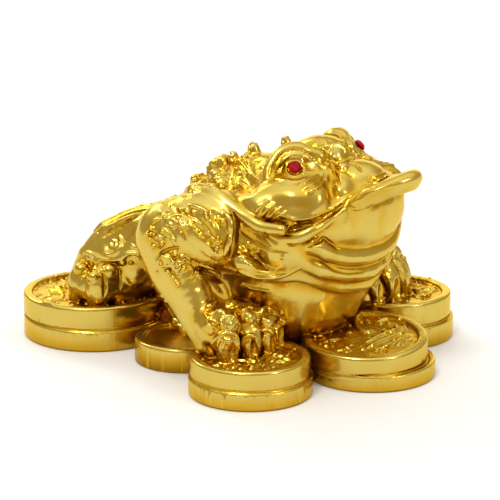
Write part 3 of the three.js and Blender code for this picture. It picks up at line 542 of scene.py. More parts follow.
def make_head(clay):
    clay.add(egg((0, -25.5, 45.4), (24, 18, 8.6), (-4, 0, 0)), 4)
    clay.add(egg((0, -36.6, 48), (10.5, 8.4, 4.4), (-2, 0, 0)), 2.5)
    clay.add(egg((0, -25, 53.5), (6.8, 9.5, 6.7), (-18, 0, 0)), 2)
    clay.add(egg((0, -37, 50.9), (8, 7.5, 4.6)), 1.5)
    for side in (-1, 1):
        clay.add(egg((side * 15.6, -29.5, 45.2), (9.7, 10, 5.3), (0, 0, side * 12)), 2)
        clay.add(egg((side * 22.9, -23.8, 45.9), (5, 5.8, 4.9)), 1.5)
        clay.add(egg((side * 8, -37.8, 47.8), (4.8, 5, 3.8)), 1.2)
        clay.add(egg((side * 6, -32.8, 51.2), (3.8, 4.5, 3.2)), 1.2)
        make_eye(clay, side)
        clay.add(ball((side * 5.6, -36.3, 54.2), 1.5), 0.5)
    clay.add(egg((-15.4, -28.8, 49.5), (8.7, 8.8, 3.9)), 2.5)


def make_mouth(clay):
    clay.add(egg((0, -33.6, 41), (19, 12.9, 9.6), (-5, 0, 0)), 3)
    clay.add(egg((0, -34.4, 45), (16, 11.9, 5)), 3)
    right_lip = [
        (-24.5, -30, 39.6, 1.4), (-24.5, -35, 40.2, 1.6), (-21.5, -38.5, 42.3, 1.6),
        (-15.8, -39.8, 44.8, 1.4), (-12.2, -41, 46.2, 1.0),
    ]
    clay.add(limb(right_lip), 1.2)
    left_lip = [
        (23.5, -29.5, 39.6, 1.4), (22.5, -34.2, 40.4, 1.4), (19.2, -37.6, 43, 1.2), (14, -39, 44.8, 0.8),
    ]
    clay.add(limb(left_lip), 1.2)
    ledge = [(-11, -43.5, 48.2, 1.6), (-7.5, -47.5, 50.2, 1.8), (-3.5, -51.8, 52.3, 1.9), (0, -53, 53, 1.9)]
    clay.add(limb(both_ways(ledge)), 0.8)
    under_ledge = [(x * 0.97, y + 0.9, z - 1.6, radius) for x, y, z, radius in ledge]
    clay.add(limb(both_ways(under_ledge)), 1.2)
    clay.add(limb([(0, -42, 48.8, 2), (0, -51.5, 52.2, 1.9)]), 1.5)
    clay.add(egg((0, -46.4, 50), (10.5, 7.2, 1.7), (-27, 0, 0)), 1.2)
    clay.add(limb([(-6, -44, 49.2, 1.6), (0, -47, 50.5, 1.8), (6, -44, 49.2, 1.6)]), 2)
    gap = [
        (-24.8, -29.5, 43.1, 0.9), (-25.5, -34, 43.2, 1.2), (-22.5, -38.2, 45, 1.3),
        (-16.5, -41.4, 47.7, 1.3), (-9, -44, 50.7, 1), (-3, -45.9, 52, 0.8), (0, -46.5, 52.4, 0.8),
    ]
    clay.cut(limb(both_ways(gap)), 0.5)


def make_throat(clay):
    folds = (
        [(-19.5, -36, 37.5, 2.2), (-14, -39, 34.5, 2.2), (-7, -41.5, 32.5, 2.2), (0, -42.5, 32.2, 2.2)],
        [(-21, -32.5, 34, 2.3), (-15.5, -36.5, 30.5, 2.3), (-8, -39.5, 28.2, 2.3), (0, -41, 27.6, 2.3)],
        [
            (-31, -23.5, 33.5, 2.1), (-27, -26.5, 30.5, 2.1), (-22.5, -29.5, 29.5, 2.1),
            (-19, -32, 29.3, 2.1), (-13, -35.3, 26.5, 2.1), (-6, -38, 24.3, 2.1), (0, -39, 23.8, 2.1),
        ],
    )
    for fold in folds:
        clay.add(limb(both_ways(fold)), 1.5)


def make_arm(clay, side, toes):
    upper = [(21, -17, 37.5, 10), (26.5, -11, 39, 10.3), (32, -3, 38.3, 8.6)]
    clay.add(limb(on_side(side, upper)), 3)
    lower = [(33, -2, 37, 8), (33.5, -5, 30, 7.2), (33.2, -9.5, 22, 5.6), (33, -13, 16.5, 4.8)]
    clay.add(limb(on_side(side, lower)), 1.5)
    cord = [
        (21, 1, 44.5, 1.5), (25.5, -5, 48, 2.1), (27.5, -13, 48.3, 2),
        (28, -20, 45.3, 1.75), (28.4, -27, 42.8, 1.6), (27.8, -33, 42.6, 1.5),
    ]
    clay.add(limb(on_side(side, cord)), 0.8)
    clay.add(limb(on_side(side, [(22, -1.5, 43, 2.6), (19, 0, 36, 5)])), 2)
    make_foot(clay, side, toes)


def make_foot(clay, side, toes):
    wrist = np.array([side * 32, -12.5, 16.5])
    clay.add(limb([(*wrist, 4.6), (*(wrist + (side * 1.2, -3, -6)), 3.8)]), 1.5)
    palm = sum(np.array(knuckle) for knuckle, _, _ in toes) / len(toes)
    clay.add(egg(palm + (2.5 * side, 4.5, 0.5), (9.5, 5.5, 5.2)), 1.5)
    for number, (knuckle, tip, radius) in enumerate(toes):
        knuckle, tip = np.array(knuckle), np.array(tip)
        middle = wrist * 0.45 + knuckle * 0.55 + (0, 0, 1.5)
        bend = knuckle * 0.4 + tip * 0.6 + (0, -0.7, 0.4)
        path = [
            (*wrist, radius * 0.9), (*middle, radius * 0.9), (*knuckle, radius),
            (*bend, radius * 0.92), (*tip, radius * 0.75),
        ]
        clay.add(limb(path, 3), 0.5)
        clay.add(ball(knuckle + (0.3 * side, 0.2, radius * 0.95), 2 - 0.1 * number), 0.3)
        make_nail(clay, side, knuckle, tip, radius, number < 2)


def make_nail(clay, side, knuckle, tip, radius, splayed):
    front = np.array([side * 0.45, -0.9, 0]) if splayed else np.array([0, -1.0, 0])
    middle = knuckle * 0.35 + tip * 0.65 + front * (radius * 1.08) + (0, 0, 0.2)
    clay.cut(egg(middle, (radius * 0.5, 1, 3.2), (0, 0, -side * 26 if splayed else 0)), 0.5)


# Carving on the head

EYE_GROOVES = (
    (0.45, 270, 178, 274, 166, 282, 155, 292, 149.5, 304, 151, 313, 157, 320, 164),
    (0.3, 301, 180, 310, 176.5, 319, 172.5),
)
EYE_WRINKLES = (
    (0.45, 299, 185.5, 309, 181, 318, 175.5), (0.45, 303, 189.5, 312, 185, 321, 178.5),
    (0.45, 308, 193.5, 316, 189, 324, 182),
)
EYE_CORNERS = ((1.3, 280, 172, 282.5, 166), (0.9, 306, 165, 313, 169))
EYE_RIDGES = (
    (0.3, 271, 173, 276, 163.5, 284, 155.5, 293, 151.5, 304, 153, 314, 160, 321, 167),
    (0.42, 272, 176, 278, 165.5, 286, 158, 293, 155, 303, 156, 312, 162, 318, 168),
    (0.4, 276, 178, 286, 181, 298, 181.5, 310, 177, 322, 171),
    (0.4, 286, 171, 286.5, 163, 290.5, 158.5, 297, 157.5, 302.5, 161, 305, 167, 303, 173),
    (0.4, 286, 171, 290, 175.5, 296, 176.5, 303, 173), (0.35, 303, 173, 311, 172.5, 319, 170.5),
    (0.45, 320, 165, 326, 168, 332, 171), (0.45, 331, 161, 326, 168, 321, 176),
    (0.35, 326, 168, 327, 174, 326, 181),
)
HEAD_LOBES = ((1.6, 318, 150, 322, 155), (2.2, 317, 190, 320, 198, 317, 206))
CHEEK_VALLEYS = ((1.6, 325, 181, 330, 190, 329, 200), (1.4, 333, 178, 333, 186, 332, 196))
MUZZLE_GROOVES = (
    (0.45, 330, 163, 334, 170, 337, 178, 341, 186), (0.45, 349, 163, 355, 165, 359, 168, 362, 172),
    (0.35, 336, 163, 336, 168, 339, 172), (0.3, 345, 172, 349, 174, 352, 178),
)
MUZZLE_RIDGES = (
    (0.4, 332, 160, 333, 167, 338, 173, 344, 174), (0.35, 368, 177, 376, 177, 383, 173, 390, 170),
    (0.3, 365, 183, 374, 183, 383, 179, 391, 174),
)
CROWN_RIDGES = (
    (0.5, 329, 134, 337, 135, 342, 139, 344, 146, 346, 155), (0.35, 322, 138, 327, 144, 329, 152, 329, 160),
)
NOSE_BEADS = ((0.5, 335, 158, 350, 158, 372, 181, 379, 180, 386, 176, 392, 173),)
EAR_RIDGES = (
    (0.5, 256, 213, 260, 206.5, 268, 201), (0.5, 262, 216, 267, 209.5, 275, 204),
    (0.5, 268, 218.5, 274, 212.5, 281, 208), (0.45, 275, 220, 280, 215.5, 286, 212),
)


def carve_head(clay):
    valleys(clay, CHEEK_VALLEYS)
    swellings(clay, HEAD_LOBES)
    swellings(clay, ((1.9, 341, 176, 342, 184, 338, 191),), False)
    valleys(clay, EYE_CORNERS)
    grooves(clay, EYE_GROOVES)
    ridges(clay, EYE_RIDGES)
    ridges(clay, EYE_WRINKLES, sink=-0.3)
    grooves(clay, MUZZLE_GROOVES)
    ridges(clay, MUZZLE_RIDGES)
    ridges(clay, CROWN_RIDGES)
    ridges(clay, EAR_RIDGES, sink=-0.2)
    beads(clay, NOSE_BEADS, False)


# Carving round the mouth and throat

MOUTH_GAP = (287, 231, 296, 229, 306, 225.5, 318, 220, 331, 212.5, 343, 204.5)
UPPER_LIP = ((0.5, 277, 214, 290, 218, 303, 219, 318, 215, 332, 207.5, 345, 198.5, 356, 192),)
MOUTH_BUMPS = (0.5, 300, 225, 312, 221, 322, 216, 333, 209)
MOUTH_CREASES = (
    (0.35, 258, 233, 265, 241, 273, 247), (0.3, 264, 232, 270, 238, 277, 242),
    (0.35, 236, 222, 241, 230, 251, 238, 261, 245, 274, 250, 292, 252),
)
CHEST_RIDGES = (
    (0.45, 237, 221, 240, 224, 243, 229), (0.5, 234, 259, 242, 257, 250, 253, 258, 251),
    (0.45, 251, 265, 259, 271, 271, 272, 282, 267), (0.6, 225, 267, 240, 271, 258, 277, 280, 276, 300, 268),
    (0.5, 240, 283, 255, 289, 270, 291),
)
CHEST_BEADS = ((0.7, 249, 244, 241, 249, 247, 251), (0.55, 282, 257, 262, 256))
THROAT_GROOVES = (
    (0.5, 308, 247, 314, 244, 320, 241, 324, 238, 330, 243, 338, 249),
    (0.35, 317, 256, 325, 264, 335, 270, 348, 273, 362, 272),
)


def carve_throat(clay):
    mark(clay, MOUTH_GAP, 1.1, 0.3, 0.3, True, 0.6)
    ridges(clay, UPPER_LIP)
    beads(clay, (MOUTH_BUMPS,))
    ridges(clay, ((0.5, 350, 207, 356, 208.5, 362, 207.5),), False)
    grooves(clay, MOUTH_CREASES)
    ridges(clay, CHEST_RIDGES)
    beads(clay, CHEST_BEADS)
    grooves(clay, THROAT_GROOVES)


# Carving on the arm

ARM_VALLEYS = (
    (2.2, 176, 212, 190, 217, 203, 228, 213, 241), (1.8, 213, 214, 221, 226, 222, 240, 217, 250),
    (2, 150, 233, 160, 243), (2, 163, 262, 174, 272), (2.6, 206, 276, 216, 284, 224, 293),
)
ARM_GROOVES = (
    (1.1, 233, 213, 235, 224, 234, 236, 233, 248, 230, 258),
    (0.5, 158, 257, 163, 252.5, 171, 249, 180, 247.5),
    (0.45, 190, 224, 198, 232, 208, 240, 214, 249, 219, 252), (0.35, 181, 229, 183, 233, 186, 238),
    (0.3, 185, 238, 188, 243), (0.3, 191, 243, 195, 249), (0.35, 199, 249, 206, 256, 216, 262),
    (0.5, 190, 259, 199, 264, 208, 265, 217, 270, 222, 277), (0.8, 196, 268, 205, 272, 215, 278, 224, 284),
)
ARM_RIDGES = (
    (0.8, 225, 214, 229, 220, 230, 232, 228, 243, 225, 254), (0.55, 190, 205, 199, 208, 209, 212),
    (0.5, 169, 217, 178, 215.5, 187, 218, 191, 223, 188, 228),
    (0.5, 192, 219, 199, 224, 205, 229, 211, 235), (0.5, 150, 228, 155, 221, 161, 219),
    (0.45, 166, 230, 171, 236, 176, 245), (0.45, 184, 254, 188, 257, 190, 263),
    (0.45, 194, 261, 204, 265, 214, 269, 220, 276), (0.45, 188, 264, 192, 270, 191, 276),
)
ARM_CURLS = (
    (0.6, (172.5, 223.5), 200, -1.2, 5.0),
    (0.55, (184, 224), 40, 1.1, 4.6),
    (0.5, (151, 236), 120, 1.1, 4.8),
    (0.55, (158, 240), -30, 1.2, 5.2),
    (0.6, (168, 262), 150, -1.2, 5.4),
    (0.55, (177, 266), 60, 1.2, 5.2),
    (0.4, (200, 274), 10, 1.0, 4.0),
)
ARM_BEADS = (
    (0.6, 218, 219, 223, 222, 206, 214, 207, 218, 217, 248, 219, 243),
    (
        0.45, 193, 228, 197, 231, 201, 234, 205, 237, 208, 239, 212, 238, 215, 241, 218, 238, 213, 244, 172,
        206, 169, 212, 181, 210, 187, 212, 194, 212, 161, 213, 165, 218,
    ),
    (0.7, 154, 246, 162, 243, 147, 235, 152, 229, 163, 232, 178, 284),
    (0.6, 163, 257, 162, 266, 168, 272, 175, 254, 182, 256, 183, 262, 178, 273, 173, 262),
    (0.4, 173, 278, 176, 281, 158, 272, 184, 269, 158, 262),
)


def carve_arm(clay):
    valleys(clay, ARM_VALLEYS)
    grooves(clay, ARM_GROOVES)
    ridges(clay, ARM_RIDGES, sink=-0.25)
    curls(clay, ARM_CURLS, -0.35)
    beads(clay, ARM_BEADS, sink=-0.3)


# Carving on the rear leg, with a knotted string that hangs beside it

STRING = (
    (-8.6, 20.4, 15), (-6.6, 20.3, 11.5), (-5.4, 20, 9.4), (-7.1, 18, 9), (-9.2, 15.3, 8.6),
    (-10.4, 13.5, 8.1), (-11.8, 11.1, 7.2), (-12.5, 8.6, 6), (-12.6, 7.9, 5.6),
)

LEG_RIDGES = (
    (0.8, 151, 204, 128, 210, 110, 219, 94, 230), (0.7, 141, 213, 130, 217, 118, 222, 102, 231),
    (0.7, 120, 236, 121.5, 243, 119, 250, 114, 254, 107, 255),
    (0.55, 84, 252, 91, 254, 101, 259, 110, 260, 118, 259, 125, 255, 132, 252, 140, 255),
    (0.4, 131, 244, 134, 247, 138, 248), (0.45, 85, 283, 88, 292, 88, 303), (0.35, 77, 280, 80, 290),
    (0.5, 118, 268, 121, 260, 126, 255, 132, 253, 138, 254, 142, 260),
)
LEG_GROOVES = (
    (0.8, 146, 209, 128, 214, 112, 222, 98, 232), (0.7, 137, 217, 125, 222, 113, 229, 103, 237),
    (0.4, 88, 262, 90, 268, 92, 274), (0.6, 119, 268, 120, 278, 119, 290),
    (0.5, 103, 274, 105, 284, 104, 296),
)
LEG_BEADS = ((1, 82, 262, 97, 261, 123, 262), (0.7, 102, 271, 83, 277, 131, 262))
REAR_KNUCKLES = ((2.2, 110, 270), (2.0, 92, 276, 80, 268))
STRING_BEADS = ((0.55, 162, 296, 166, 301, 163, 306, 169, 309, 168, 316, 174, 319, 178, 325, 184, 329),)


def carve_leg(clay):
    beads(clay, REAR_KNUCKLES, False, 0.4)
    valleys(clay, ((3, 130, 228, 118, 238, 108, 246),), False)
    grooves(clay, LEG_GROOVES, False)
    ridges(clay, LEG_RIDGES, False)
    mark(clay, curl((113, 245), 90, -0.9, 4.5), 0.45, far_side=False, steps=1)
    beads(clay, LEG_BEADS, False)
    clay.add(limb([(*point, 1.3) for point in STRING]), 0.5)
    beads(clay, STRING_BEADS, False)


# Carving on the feet

NEAR_FOOT_KNUCKLES = (
    (2.5, 230, 322), (2.6, 249, 317), (2.1, 267, 321), (1.7, 280, 321),
    (2.0, 231, 304, 211, 328), (1.8, 251, 307, 241, 311), (1.5, 266, 311, 221, 312),
)
NEAR_FOOT_RIDGES = (
    (0.6, 213, 350, 214, 341, 219, 336, 227, 333, 234, 335, 237, 342, 238, 350),
    (0.45, 218, 349, 219, 342, 223, 338.5, 229, 339, 232, 344, 232, 350),
    (0.55, 242, 348, 243, 340, 247, 336, 253, 336, 258, 343, 259, 350),
    (0.5, 255, 329, 262, 331, 267, 330, 273, 335, 275, 345), (0.5, 263, 345, 264, 338, 267, 335),
    (0.5, 277, 322, 281, 320, 285, 325, 286, 336, 286, 344),
    (0.5, 222, 328, 221, 322, 224, 317.5, 230, 316.5, 235, 320, 237, 326, 234, 331),
    (0.45, 242, 320, 242, 312, 248, 307.5, 255, 309, 257, 315),
    (0.45, 262, 322, 264, 315, 270, 313, 277, 315, 281, 320), (0.8, 207, 309, 212, 305, 218, 303),
    (0.5, 224, 350, 224, 344, 226, 340, 229, 342, 229, 350), (0.4, 206, 315, 209, 325, 215, 328),
    (0.4, 222, 318, 221, 324, 226, 330),
)
NEAR_FOOT_BEADS = (
    (0.8, 233, 298, 238, 307, 255, 313),
    (0.55, 246, 320, 251, 322, 257, 320, 265, 320, 272, 317, 209, 318, 262, 309),
)
FAR_FOOT_RIDGES = (
    (0.45, 384, 272, 389, 279, 391, 288, 391, 298),
    (0.45, 395, 286, 397, 275, 401, 270, 405, 274, 407, 288), (0.4, 390, 252, 398, 251, 404, 255, 408, 260),
)


def carve_feet(clay):
    swellings(clay, ((3.6, 207, 312, 207, 324, 208, 336, 210, 347),), False)
    beads(clay, NEAR_FOOT_KNUCKLES, False, 0.45)
    ridges(clay, NEAR_FOOT_RIDGES, False, -0.3)
    mark(clay, curl((230, 304), 60, 1.1, 4.5), 0.45, far_side=False, steps=1)
    beads(clay, NEAR_FOOT_BEADS, False)
    spur(clay, (281, 313), (287.5, 301), 0.6)
    ridges(clay, FAR_FOOT_RIDGES, False)
    beads(clay, ((0.7, 404, 258, 393, 258, 385, 263),), False)


# Carving on the back

BACK_GRAINS = 60
GRAIN_SPACING = 1.7
BACK_LOBES = (
    (3.6, 219, 164, 226, 170), (3, 217, 184, 223, 188), (3.4, 236, 168, 236, 180),
    (2.6, 247, 156, 252, 166), (2.2, 255, 183, 262, 182),
)
BACK_VALLEYS = ((2.2, 229, 160, 230, 172, 228, 184), (2.4, 244, 178, 248, 186, 252, 192))
BACK_KNOBS = (
    ((214, 170), 0.9, 0.4), ((217, 164), 1.2, 0.6), ((223, 162), 1.3, 0.3), ((244, 158), 0.8, 0.2),
    ((216, 176), 1.7, 0.2), ((221, 188), 1.1, 0.1), ((236, 190), 1.0, 0.1), ((195, 191), 0.9, 0.1),
)
BACK_RIDGES = (
    (0.45, 238, 161, 243, 164, 247, 170, 252, 178), (0.4, 240, 167, 243, 172, 244, 179),
    (0.4, 247, 160, 250, 166, 250, 174), (0.4, 255, 161, 252, 168, 254, 176, 258, 179),
    (0.45, 213, 181, 217, 178, 224, 178, 228, 182), (0.4, 229, 187, 233, 184, 239, 187, 241, 193),
    (0.4, 241, 183, 246, 186, 252, 191),
)
BACK_CURLS = (
    (0.4, (225, 168), 90, 1.3, 4.5),
    (0.4, (218, 186), 200, 1.2, 4.0),
    (0.4, (234, 190), 0, 1.2, 3.8),
)
SPINE_KNOBS = (
    (0, -15.2, 57.2, 1.35), (0, -5, 54.2, 1.6), (0, 1.2, 51.6, 0.9), (0, 5, 49.2, 1.3),
    (-1, 8.2, 46.6, 1.0), (-3.8, 10.2, 44.2, 2.1), (5, 9.5, 43.5, 1.6), (-6, 17, 38, 1.2),
)


def strew_back(clay):
    """Seeded grains on the skin of the back, kept apart from one another."""
    rng = np.random.default_rng(SEED)
    placed = []
    for _ in range(BACK_GRAINS * 12):
        x, y = rng.uniform(-22, 22), rng.uniform(-24, 16)
        if len(placed) >= BACK_GRAINS or (x / 18) ** 2 + ((y + 1) / 14) ** 2 >= 1:
            continue
        height = 55 - 0.45 * max(y + 15, 0) - 0.022 * x * x
        point = clay.settle((x, y, height))[0]
        if all(np.linalg.norm(point - other) > GRAIN_SPACING for other in placed):
            placed.append(point)
    for point in placed:
        bead(clay, point, rng.uniform(0.4, 1.0), 0.3, 0.1)


def carve_back(clay):
    swellings(clay, BACK_LOBES)
    valleys(clay, BACK_VALLEYS)
    strew_back(clay)
    for x, y, z, radius in SPINE_KNOBS:
        clay.add(limb([(x, y - 1, z - 6, 1.6 * radius), (x, y, z, radius)]), 1.0)
        ring_of_beads(clay, np.array([(x, y, z - 0.8 * radius)]), radius + 0.5, 0.55)
    for pixel, radius, lift in BACK_KNOBS:
        point = clay.drop(pixel)
        knob(clay, point * (-1, 1, 1), radius, lift)
        knob(clay, point, radius, lift)
    ridges(clay, BACK_RIDGES)
    curls(clay, BACK_CURLS)


# Coins

def add_coin(clay, name):
    centre, radius, top, shift = COINS[name]
    lean = LEANS.get(name, LEVEL)
    rise = math.hypot(*lean) * radius
    seam = (top - rise) * SEAM_SHARE
    foot = -1.0
    if shift:
        lower = (centre[0] + shift[0], centre[1] + shift[1])
        clay.add(disc(lower, radius + 0.5, 0, seam + 0.2, 0.5))
        foot = seam + max(rise - LEAN_SINK, -0.1)
    clay.add(disc(centre, radius, foot, top, COIN_ROUND, lean))
    clay.cut(disc(centre, radius - RIM, top - RECESS, top + 4, 0.3, lean), 0.4)
    if shift:
        clay.cut(hoop(lower, radius + 0.15, seam + 0.45, 0.3), 0.1)
        clay.cut(hoop(centre, radius + 0.2, seam + 0.35, 0.45), 0.1)


def make_coins():
    clay = Clay()
    centre, radius, top = BASE
    clay.add(disc(centre, radius, -1, top, COIN_ROUND))
    for name in ("left_side", "left_rear", "rear", "right_side", "left_foot", "front", "right_foot"):
        add_coin(clay, name)
    return clay


# Carving on the coins

# sunk faces with a square frame: the coin, its turn and half the frame
FRAMED_COINS = (("rear", 0.5, 3.6), ("left_foot", 0.3, 3.0), ("right_foot", 0.4, 3.2))
COIN_GRAINS = 45
SEAM_SHARE = 0.46
STROKE = 0.45
# the front coin's, then the rear coin's, then the foot coins'
COIN_RIDGES = (
    (0.75, 361, 313, 356, 319, 355, 324, 359, 330, 366, 333, 373, 331),
    (0.5, 365, 343, 378, 337, 390, 332, 403, 327), (0.5, 366, 349, 380, 342, 395, 336, 405, 331),
    (0.4, 368, 326, 378, 329, 387, 334), (0.4, 374, 323, 384, 326, 392, 330),
    (0.45, 376, 322, 383, 320, 389, 319, 396, 319), (0.45, 396, 321, 402, 324, 406, 328),
    (0.45, 323, 343, 331, 341, 340, 339), (0.5, 341, 342, 345, 347, 350, 352), (0.45, 329, 340, 333, 347),
    (0.45, 336, 341, 340, 349), (0.5, 352, 344, 356, 352), (0.35, 314, 336, 325, 336),
    (0.45, 374, 351, 384, 348, 392, 343), (0.45, 396, 346, 403, 341, 409, 336),
    (0.4, 56, 286, 63, 287, 65, 292), (0.35, 63, 275, 68, 279), (0.35, 66, 273, 72, 277),
    (0.35, 60, 278, 66, 282), (0.4, 42, 301, 48, 304, 55, 305), (0.4, 46, 297, 53, 300, 62, 300),
    (0.45, 404, 287, 412, 290, 420, 290, 426, 287), (0.4, 415, 277, 417, 284),
    (0.4, 420, 297, 427, 295, 434, 291, 431, 285), (0.45, 247, 362, 253, 358, 259, 362, 255, 367, 249, 366),
    (0.45, 262, 367, 268, 360, 276, 355, 281, 350), (0.4, 266, 369, 274, 364, 282, 360),
    (0.45, 284, 358, 290, 354, 296, 347), (0.4, 288, 361, 294, 356),
)
COIN_BEADS = (
    (0.6, 380, 324, 388, 323, 399, 319, 384, 330, 396, 326, 331, 332, 326, 346, 361, 347),
    (0.8, 349, 333),
    (0.5, 340, 331, 358, 338, 346, 338, 372, 345, 402, 345, 413, 341, 380, 352, 368, 338),
    (
        0.5, 40, 285, 45, 282, 51, 279, 57, 276, 43, 298, 50, 296, 58, 303, 66, 300, 36, 290,
    ),
    (0.5, 403, 296, 397, 297, 392, 297, 409, 281, 423, 280, 430, 278, 373, 299, 374, 304),
    (
        0.55, 207, 358, 212, 362, 218, 365, 224, 367, 228, 369, 209, 352, 240, 369, 236, 366,
    ),
)


def carve_framed_coin(clay, name, turn, frame):
    """A square frame with three strokes along each of its sides."""
    (x, y), radius, top = COINS[name][:3]

    def spot(along, across):
        east = along * math.cos(turn) - across * math.sin(turn)
        north = along * math.sin(turn) + across * math.cos(turn)
        return (x + east, y + north, top - RECESS + 0.2, STROKE)

    corners = ((-frame, -frame), (frame, -frame), (frame, frame), (-frame, frame), (-frame, -frame))
    clay.add(limb([spot(*corner) for corner in corners], 1), 0.2)
    middle = (radius - RIM + frame) / 2
    for side in range(4):
        angle = side * math.pi / 2
        for number in range(3):
            spread = (number - 1) * 2.2
            away = middle + ((number % 2) - 0.5) * 0.8
            ends = []
            for reach in (-1.6, 1.6):
                along = (away + reach) * math.cos(angle) - spread * math.sin(angle)
                across = (away + reach) * math.sin(angle) + spread * math.cos(angle)
                ends.append(spot(along, across))
            clay.add(limb(ends, 1), 0.2)


def strew_coin(clay, name, rng):
    """Seeded grains on a sunk face."""
    (x, y), radius, top = COINS[name][:3]
    lean = LEANS.get(name, LEVEL)
    for _ in range(COIN_GRAINS):
        angle = rng.uniform(0, 2 * math.pi)
        away = (radius - RIM - 0.7) * math.sqrt(rng.uniform(0.2, 1))
        east, north = away * math.cos(angle), away * math.sin(angle)
        place = (x + east, y + north, top - RECESS + 0.1 + lean[0] * east + lean[1] * north)
        clay.add(ball(place, rng.uniform(0.3, 0.55)), 0.2)


def carve_coins(clay):
    rng = np.random.default_rng(SEED)
    strew_coin(clay, "front", rng)
    for framed in FRAMED_COINS:
        carve_framed_coin(clay, *framed)
        strew_coin(clay, framed[0], rng)
    ridges(clay, COIN_RIDGES, False, -0.3)
    beads(clay, COIN_BEADS, False)


# Skin

def draw_skin(clay):
    """Draws the clay's skin as a mesh of quads, and gives its points in millimetres."""
    grid = openvdb.FloatGrid(FAR)
    grid.copyFromArray(clay.field)
    points, triangles, quads = grid.convertToPolygons(0.0, 0.0)
    points = points * CELL + clay.low
    faces = [row[::-1].tolist() for row in quads] + [row[::-1].tolist() for row in triangles]
    return points, faces


def work_over(points, clay):
    """A slight seeded unevenness, as of clay worked by hand, that fades out above the coins."""
    rng = np.random.default_rng(SEED)
    shift = np.zeros(len(points))
    for wave, height in ((9.0, 0.035), (6.5, 0.03), (4.5, 0.02), (3.2, 0.012)):
        for _ in range(3):
            direction = rng.normal(size=3)
            direction *= 2 * math.pi / wave / np.linalg.norm(direction)
            shift += height * np.sin(points @ direction + rng.uniform(0, 2 * math.pi))
    fade = np.clip((points[:, 2] - COIN_TOPS) / 2, 0, 1)
    return points + clay.normals(points) * (shift * fade)[:, None]


def new_object(name, data):
    thing = bpy.data.objects.new(name, data)
    bpy.context.scene.collection.objects.link(thing)
    return thing


def mesh_object(name, points, faces):
    points = (np.array(points) - (CENTRE_X, 0, 0)) * MM
    mesh = bpy.data.meshes.new(name)
    mesh.from_pydata(points.tolist(), [], faces)
    mesh.update()
    return new_object(name, mesh)


def keep_largest(piece):
    """Drops the small shells that a cut can leave inside or beside the main skin."""
    work = bmesh.new()
    work.from_mesh(piece.data)
    work.verts.ensure_lookup_table()
    seen = np.zeros(len(work.verts), bool)
    shells = []
    for start in work.verts:
        if seen[start.index]:
            continue
        shell = [start]
        seen[start.index] = True
        for vert in shell:
            for edge in vert.link_edges:
                other = edge.other_vert(vert)
                if not seen[other.index]:
                    seen[other.index] = True
                    shell.append(other)
        shells.append(shell)
    shells.sort(key=len)
    for shell in shells[:-1]:
        bmesh.ops.delete(work, geom=shell, context="VERTS")
    work.to_mesh(piece.data)
    work.free()


def thin(piece, triangles):
    """Thins a mesh where it is flat, down to a number of triangles."""
    piece.data.calc_loop_triangles()
    modifier = piece.modifiers.new("thin", "DECIMATE")
    modifier.ratio = triangles / len(piece.data.loop_triangles)
    graph = bpy.context.evaluated_depsgraph_get()
    mesh = bpy.data.meshes.new_from_object(piece.evaluated_get(graph))
    piece.modifiers.clear()
    piece.data = mesh


def shade_hollows(piece, clay):
    """Writes painted shade on the skin: how deep each point lies in a hollow or close above the floor, and
    how sheltered it is, read from the clay in front of it.
    """
    mesh = piece.data
    points = np.empty(len(mesh.vertices) * 3)
    mesh.vertices.foreach_get("co", points)
    points = points.reshape(-1, 3) / MM + (CENTRE_X, 0, 0)
    normals = clay.normals(points)
    crease_shade = np.zeros(len(points))
    sheltered_shade = np.zeros(len(points))
    # painted crease shade: darker where the clay or the floor lies close in front of a point, which also
    # paints a contact shadow along the foot of the coins
    for reach in (0.5, 0.9, 1.4):
        ahead = points + normals * reach
        room = np.minimum(clay.sample(ahead), ahead[:, 2])
        crease_shade += np.clip(1 - room / reach, 0, 1) / 3
    # painted shade under overhangs and between parts: darker where clay further out shelters a point
    for reach in (3.0, 6.0, 11.0):
        sheltered_shade += np.clip(1 - clay.sample(points + normals * reach) / reach, 0, 1) / 3
    for name, values in (("painted_crease_shade", crease_shade), ("painted_shelter_shade", sheltered_shade)):
        layer = mesh.attributes.new(name, "FLOAT", "POINT")
        layer.data.foreach_set("value", values.astype(np.float32))


# Materials

def plug(tree, node, inputs):
    """Sets a node's inputs, each to a value or to another node's output."""
    for name, value in inputs.items():
        if isinstance(value, bpy.types.NodeSocket):
            tree.links.new(value, node.inputs[name])
        else:
            node.inputs[name].default_value = value


def add_node(tree, kind, inputs):
    node = tree.nodes.new("ShaderNode" + kind)
    plug(tree, node, inputs)
    return node


def add_math(tree, operation, *inputs):
    node = tree.nodes.new("ShaderNodeMath")
    node.operation = operation
    plug(tree, node, dict(enumerate(inputs)))
    return node.outputs[0]


def add_ramp(tree, factor, stops):
    """Colours along a factor: each stop is a place and a colour."""
    node = add_node(tree, "ValToRGB", {0: factor})
    elements = node.color_ramp.elements
    for element, stop in zip(elements, (stops[0], stops[-1])):
        element.position, element.color = stop
    for place, colour in stops[1:-1]:
        elements.new(place).color = colour
    return node.outputs[0]


def add_pattern(tree, kind, inputs):
    """A pattern that is fixed to its object."""
    place = add_node(tree, "TexCoord", {})
    return add_node(tree, kind, {"Vector": place.outputs["Object"], **inputs})


def skin_value(tree, name):
    """A painted shade value that shade_hollows writes on the skin."""
    node = add_node(tree, "Attribute", {})
    node.attribute_name = name
    return node.outputs["Fac"]


def new_material(name):
    material = bpy.data.materials.new(name)
    material.use_nodes = True
    return material, material.node_tree, material.node_tree.nodes["Principled BSDF"]


